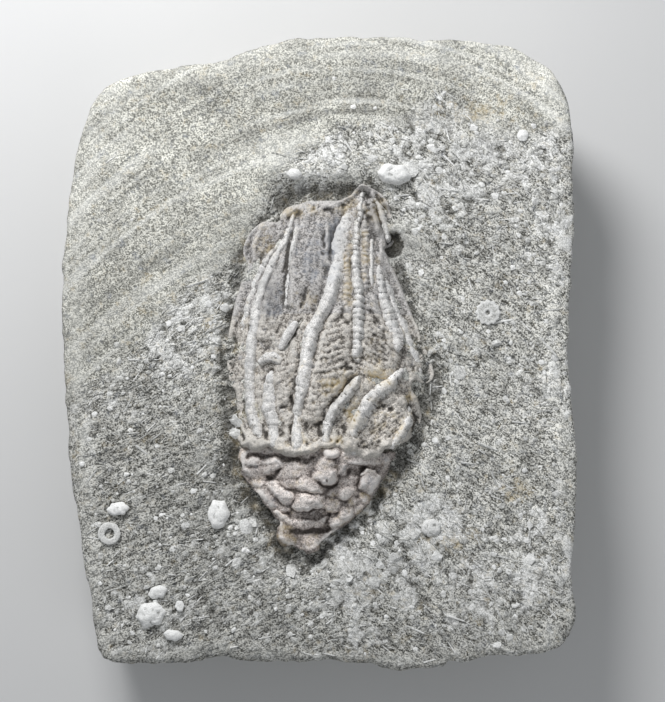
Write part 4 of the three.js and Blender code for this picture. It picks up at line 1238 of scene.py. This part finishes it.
def build_fabric():
    """Fine dashes that lie along the bedding of the left and of the right side."""
    tree, ins, outs = new_group(
        "stone_fabric", [("Vector", "NodeSocketVector", None), ("Right", "NodeSocketFloat", 0.5)],
        [("Value", "NodeSocketFloat")])
    warp = put(tree, "ShaderNodeTexNoise", Vector=ins["Vector"], Scale=1 / (4.0 * MM), Detail=2.0)
    drift = put(tree, "ShaderNodeVectorMath", i0=warp.outputs["Color"], i1=(1.6 * MM, 1.6 * MM, 0))
    drift.operation = "MULTIPLY"
    bent = put(tree, "ShaderNodeVectorMath", i0=ins["Vector"], i1=drift.outputs[0])
    sides = []
    for degrees in BEDDING:
        turn = put(tree, "ShaderNodeMapping", Vector=bent.outputs[0], Scale=(5.0, 1.0, 1.0),
                   Rotation=(0, 0, math.radians(degrees)))
        turn.vector_type = "TEXTURE"
        sides.append(noise(tree, turn.outputs[0], 0.34, 2.0, 0.6))
    level = sums(tree, "MULTIPLY", sums(tree, "SUBTRACT", sides[1], sides[0]), ins["Right"])
    tree.links.new(sums(tree, "ADD", level, sides[0]), outs["Value"])
    return tree


def build_hollow_shade_and_dirt():
    """Darkens hollows with painted shade and grime, and lightens ridges with painted highlight and rubbing.
    """
    # The Dirt input is the colour of the painted shade and grime, and the Wear input is that of the painted
    # highlight and rubbing.
    tree, ins, outs = new_group(
        "hollow_shade_and_dirt",
        [("Color", "NodeSocketColor", (0.5, 0.5, 0.5, 1)), ("Hollow", "NodeSocketFloat", 0.5),
         ("Dirt", "NodeSocketColor", (0.1, 0.1, 0.1, 1)), ("Wear", "NodeSocketColor", (0.8, 0.8, 0.8, 1)),
         ("Dirt Amount", "NodeSocketFloat", 0.7), ("Wear Amount", "NodeSocketFloat", 0.3)],
        [("Color", "NodeSocketColor")])
    deep = sums(tree, "MULTIPLY", span(tree, ins["Hollow"], 0.5, 1.0), ins["Dirt Amount"])
    high = sums(tree, "MULTIPLY", span(tree, ins["Hollow"], 0.5, 0.05), ins["Wear Amount"])
    worn_and_highlit = blend(tree, high, ins["Color"], ins["Wear"])
    tree.links.new(blend(tree, deep, worn_and_highlit, ins["Dirt"]), outs["Color"])
    return tree


def build_tint():
    """Lightens, darkens, warms or greys a colour by two masks round 0.5."""
    tree, ins, outs = new_group(
        "stone_tint",
        [("Color", "NodeSocketColor", (0.5, 0.5, 0.5, 1)), ("Vector", "NodeSocketVector", None),
         ("Tone", "NodeSocketFloat", 0.5), ("Warm", "NodeSocketFloat", 0.5),
         ("Ochre", "NodeSocketColor", (0.44, 0.34, 0.17, 1)),
         ("Slate", "NodeSocketColor", (0.34, 0.37, 0.43, 1))],
        [("Color", "NodeSocketColor")])
    patch = noise(tree, ins["Vector"], 1.6, 4.0, 0.7)
    centred = sums(tree, "SUBTRACT", patch, 0.5)
    shifted = sums(tree, "ADD", sums(tree, "MULTIPLY", centred, 1.3), ins["Warm"])
    ochre = sums(tree, "MULTIPLY", span(tree, shifted, 0.60, 1.0), 0.85)
    slate = sums(tree, "MULTIPLY", span(tree, shifted, 0.42, 0.05), 0.75)
    warmed = blend(tree, ochre, ins["Color"], ins["Ochre"])
    greyed = blend(tree, slate, warmed, ins["Slate"])
    level = span(tree, ins["Tone"], 0, 1, 0.42, 1.58)
    tree.links.new(blend(tree, 1.0, greyed, grey_of(tree, level), "MULTIPLY"), outs["Color"])
    return tree


speckle_group = build_speckle()
fabric_group = build_fabric()
shade_dirt_group = build_hollow_shade_and_dirt()
tint_group = build_tint()


def new_material(name):
    material = bpy.data.materials.new(name)
    material.use_nodes = True
    tree = material.node_tree
    shader = tree.nodes["Principled BSDF"]
    shader.inputs["Specular IOR Level"].default_value = 0.25
    place = tree.nodes.new("ShaderNodeTexCoord").outputs["Object"]
    return material, tree, shader, place


def add_bump(tree, shader, height, distance_mm, strength):
    bump = put(tree, "ShaderNodeBump", Height=height, Distance=distance_mm * MM, Strength=strength)
    tree.links.new(bump.outputs[0], shader.inputs["Normal"])


def limestone_material():
    """Grey limestone: fine-grained top layer and shelly layer below it, by the slab's masks."""
    material, tree, shader, place = new_material("grey_limestone")
    fine, pale = mask(tree, "fine"), mask(tree, "pale")
    speck = use_group(tree, speckle_group, Vector=place, Contrast=span(tree, fine, 0, 1, 2.9, 2.0))
    fabric = use_group(tree, fabric_group, Vector=place, Right=mask(tree, "right"))["Value"]
    dashes = sums(tree, "MULTIPLY", sums(tree, "SUBTRACT", fabric, 0.5), span(tree, fine, 0, 1, 2.4, 0.3))
    grain = sums(tree, "ADD", speck["Value"], dashes, clamp=True)
    shelly = blend(tree, grain, (0.075, 0.075, 0.065, 1), (0.80, 0.79, 0.74, 1))
    layer = blend(tree, grain, (0.17, 0.17, 0.15, 1), (0.78, 0.77, 0.70, 1))
    ground = blend(tree, fine, shelly, layer)
    cloud = span(tree, noise(tree, place, 5.0, 4.0, 0.6), 0.3, 0.7, 0.74, 1.22)
    ground = blend(tree, 1.0, ground, grey_of(tree, cloud), "MULTIPLY")
    streaks = sums(tree, "MULTIPLY", span(tree, mask(tree, "streak"), 0.5, 0.9, 0.0, 0.42), fine)
    ground = blend(tree, streaks, ground, (0.92, 0.92, 0.88, 1))
    gouges = sums(tree, "MULTIPLY", span(tree, mask(tree, "streak"), 0.4, 0.1, 0.0, 0.46), fine)
    ground = blend(tree, gouges, ground, (0.16, 0.16, 0.15, 1))
    ground = blend(tree, pale, ground, chalk_of(tree, speck["Value"], (0.58, 0.58, 0.56, 1)))
    warm = span(tree, mask(tree, "warm"), 0, 1, 0.5, 1.0)
    ground = use_group(tree, tint_group, Color=ground, Vector=place, Tone=mask(tree, "tone"),
                       Warm=warm)["Color"]
    # The hollow mask paints shade and grime into the face's hollows, and painted highlight and rubbing onto
    # its ridges and rim.
    ground = use_group(tree, shade_dirt_group, Color=ground, Hollow=mask(tree, "hollow"),
                       Dirt=(0.045, 0.043, 0.036, 1), Wear=(0.82, 0.82, 0.78, 1),
                       Dirt_Amount=0.75, Wear_Amount=0.35)["Color"]
    tree.links.new(ground, shader.inputs["Base Color"])
    tree.links.new(span(tree, speck["Value"], 0, 1, 0.95, 0.78), shader.inputs["Roughness"])
    add_bump(tree, shader, sums(tree, "ADD", speck["Height"], fabric), 0.18, 0.8)
    return material


def calcite_material(name, dark, light, shade_and_dirt, wear_and_highlight, contrast, amounts, loose=False):
    """Dull fossil calcite between two colours, with painted shade and grime in its joints and painted
    highlight and rubbing on its ridges.

    The crown's pieces are tinted by their place; a loose piece is as chalky as its tone says.
    """
    material, tree, shader, place = new_material(name)
    speck = use_group(tree, speckle_group, Vector=place, Contrast=contrast)
    colour = blend(tree, speck["Value"], dark, light)
    if loose:
        chalk = chalk_of(tree, speck["Value"], (0.74, 0.74, 0.72, 1))
        colour = blend(tree, span(tree, mask(tree, "tone"), 0.25, 0.9), colour, chalk)
    else:
        colour = use_group(tree, tint_group, Color=colour, Vector=place, Tone=mask(tree, "tone"),
                           Warm=mask(tree, "warm"))["Color"]
    # The hollow mask paints shade and grime into joints and grooves, and painted highlight and rubbing onto
    # ridges; amounts sets how strong each is.
    colour = use_group(tree, shade_dirt_group, Color=colour, Hollow=mask(tree, "hollow"), Dirt=shade_and_dirt, Wear=wear_and_highlight,
                       Dirt_Amount=amounts[0], Wear_Amount=amounts[1])["Color"]
    tree.links.new(colour, shader.inputs["Base Color"])
    tree.links.new(span(tree, speck["Value"], 0, 1, 0.85, 0.62), shader.inputs["Roughness"])
    add_bump(tree, shader, speck["Height"], 0.12, 0.7)
    return material


limestone = limestone_material()
arm_stone = calcite_material(
    "arm_calcite", dark=(0.13, 0.125, 0.12, 1), light=(0.76, 0.74, 0.725, 1), shade_and_dirt=(0.05, 0.042, 0.038, 1),
    wear_and_highlight=(0.94, 0.93, 0.91, 1), contrast=2.1, amounts=(0.85, 0.5))
cup_stone = calcite_material(
    "cup_calcite", dark=(0.20, 0.17, 0.155, 1), light=(0.80, 0.72, 0.675, 1), shade_and_dirt=(0.05, 0.038, 0.032, 1),
    wear_and_highlight=(0.95, 0.92, 0.89, 1), contrast=1.3, amounts=(0.85, 0.65))
sac_stone = calcite_material(
    "sac_calcite", dark=(0.13, 0.125, 0.12, 1), light=(0.60, 0.575, 0.56, 1), shade_and_dirt=(0.045, 0.04, 0.035, 1),
    wear_and_highlight=(0.74, 0.72, 0.70, 1), contrast=1.7, amounts=(0.9, 0.4))
pinnule_stone = calcite_material(
    "pinnule_calcite", dark=(0.15, 0.135, 0.12, 1), light=(0.66, 0.62, 0.57, 1), shade_and_dirt=(0.035, 0.03, 0.025, 1),
    wear_and_highlight=(0.80, 0.77, 0.72, 1), contrast=1.6, amounts=(0.9, 0.5))
loose_stone = calcite_material(
    "loose_calcite", dark=(0.16, 0.16, 0.15, 1), light=(0.68, 0.68, 0.64, 1), shade_and_dirt=(0.06, 0.06, 0.05, 1),
    wear_and_highlight=(0.95, 0.95, 0.94, 1), contrast=1.5, amounts=(0.7, 0.5), loose=True)


# ---- building ----
slab_piece = build_slab(limestone)
build_bed(sac_stone, pinnule_stone)
for index, arm in enumerate(sorted(ARM_NODES)):
    build_arm(arm, index + 1, arm_stone)
build_cup(cup_stone)

# Roughening of the carved pieces: amount, cell, seed
CARVED_SMALL = ((0.05, 0.6, 201), (0.03, 0.3, 202))
DISC_SMALL = ((0.03, 0.5, 241),)
for part, new_name in (("arm_left_fork", "ray_left_fork"), ("spine_splinter", "loose_spine")):
    mark_tints(carve(part, new_name, 0.15, 3, CARVED_SMALL, ((4, 0.05), (14, 0.15)), arm_stone, "arm_calcite",
                     grow=0.12))
for index, part in enumerate(sorted(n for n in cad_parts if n.startswith(("fragment", "columnal")))):
    new_name = part.replace("fragment", "shell_bit").replace("columnal", "stem_disc")
    voxel, passes, squash, rough = 0.12, 1, 0.5, DISC_SMALL
    if part.startswith("fragment"):
        voxel, passes, squash, rough = 0.18, 3, 0.72, ((0.16, 1.6, 231 + index), (0.08, 0.5, 251 + index))
    bit = carve(part, new_name, voxel, passes, rough, ((4, 0.06), (14, 0.2)), loose_stone, "loose_calcite",
                grow=0.25, squash=squash)
    write_mask(bit, "tone", np.full(len(bit.data.vertices), FRAGMENT_TONES.get(part, 0.55)))

# Loose pieces: name, count, least and greatest size, shares of chip, flake, disc and rod, whether they stray
# over bare rock, how deep they sit, how chalky the least chalky is, seed
LOOSE_PIECES = (
    ("shell_grains", 750, (0.14, 0.6), (0.9, 0.05, 0.05, 0.0), False, -0.15, 0.0, 261),
    ("shell_flakes", 130, (0.4, 1.3), (0.1, 0.87, 0.03, 0.0), False, -0.08, 0.5, 264),
    ("shell_rods", 170, (0.9, 2.0), (0.0, 0.0, 0.0, 1.0), True, 0.0, 0.4, 265),
    ("shell_slivers_long", 2600, (0.45, 1.1), (0.0, 0.0, 0.0, 1.0), True, 0.02, 0.0, 262),
    ("shell_slivers_short", 3600, (0.22, 0.6), (0.15, 0.15, 0.0, 0.7), True, 0.0, 0.0, 263),
)
face_mesh = slab_piece.data
face_tree = BVHTree.FromPolygons([v.co / MM for v in face_mesh.vertices],
                                 [p.vertices[:] for p in face_mesh.polygons])
for loose in LOOSE_PIECES:
    scatter(*loose, loose_stone, face_tree)


# ---- floor, light and camera ----
def build_floor():
    bm = bmesh.new()
    bmesh.ops.create_grid(bm, x_segments=1, y_segments=1, size=1500)
    floor = place_mesh("floor", bm)
    material, tree, shader, place = new_material("pale_floor")
    cloud = span(tree, noise(tree, place, 60, 2.0, 0.5), 0, 1, 0.66, 0.70)
    tree.links.new(grey_of(tree, cloud), shader.inputs["Base Color"])
    shader.inputs["Roughness"].default_value = 0.9
    floor.data.materials.append(material)


def soft_light(name, place, aim, size, power):
    data = bpy.data.lights.new(name, "AREA")
    data.shape = "DISK"
    data.size = size
    data.energy = power
    lamp = bpy.data.objects.new(name, data)
    lamp.location = place
    lamp.rotation_euler = (Vector(aim) - Vector(place)).to_track_quat("-Z", "Y").to_euler()
    bpy.context.collection.objects.link(lamp)


def build_world():
    world = bpy.data.worlds.new("studio")
    world.use_nodes = True
    world.node_tree.nodes["Background"].inputs[0].default_value = (0.92, 0.96, 1.0, 1)
    world.node_tree.nodes["Background"].inputs[1].default_value = 0.28
    bpy.context.scene.world = world


LENS = 85                     # millimetres, on a sensor 36 wide
SENSOR = 36
PICTURE_HEIGHT = 0.1264       # metres of the face plane that the picture takes in, top to bottom
TILT = 86.5                   # degrees above the horizon, seen from the cup's side
AIM = Vector((0.0023, 0.0005, 0.022))


def build_camera():
    data = bpy.data.cameras.new("camera")
    data.lens = LENS
    data.sensor_width = SENSOR
    camera = bpy.data.objects.new("camera", data)
    away = PICTURE_HEIGHT * LENS / SENSOR
    back = Vector((0, -math.cos(math.radians(TILT)), math.sin(math.radians(TILT))))
    camera.location = AIM + back * away
    camera.rotation_euler = (-back).to_track_quat("-Z", "Y").to_euler()
    bpy.context.collection.objects.link(camera)
    bpy.context.scene.camera = camera


build_floor()
soft_light("key_light", (-0.085, 0.20, 0.19), (0, 0, 0.02), 0.12, 0.75)
soft_light("fill_light", (0.25, -0.30, 0.45), (0, 0, 0.02), 0.4, 0.35)
build_world()
build_camera()
bpy.context.scene.view_settings.view_transform = "Standard"
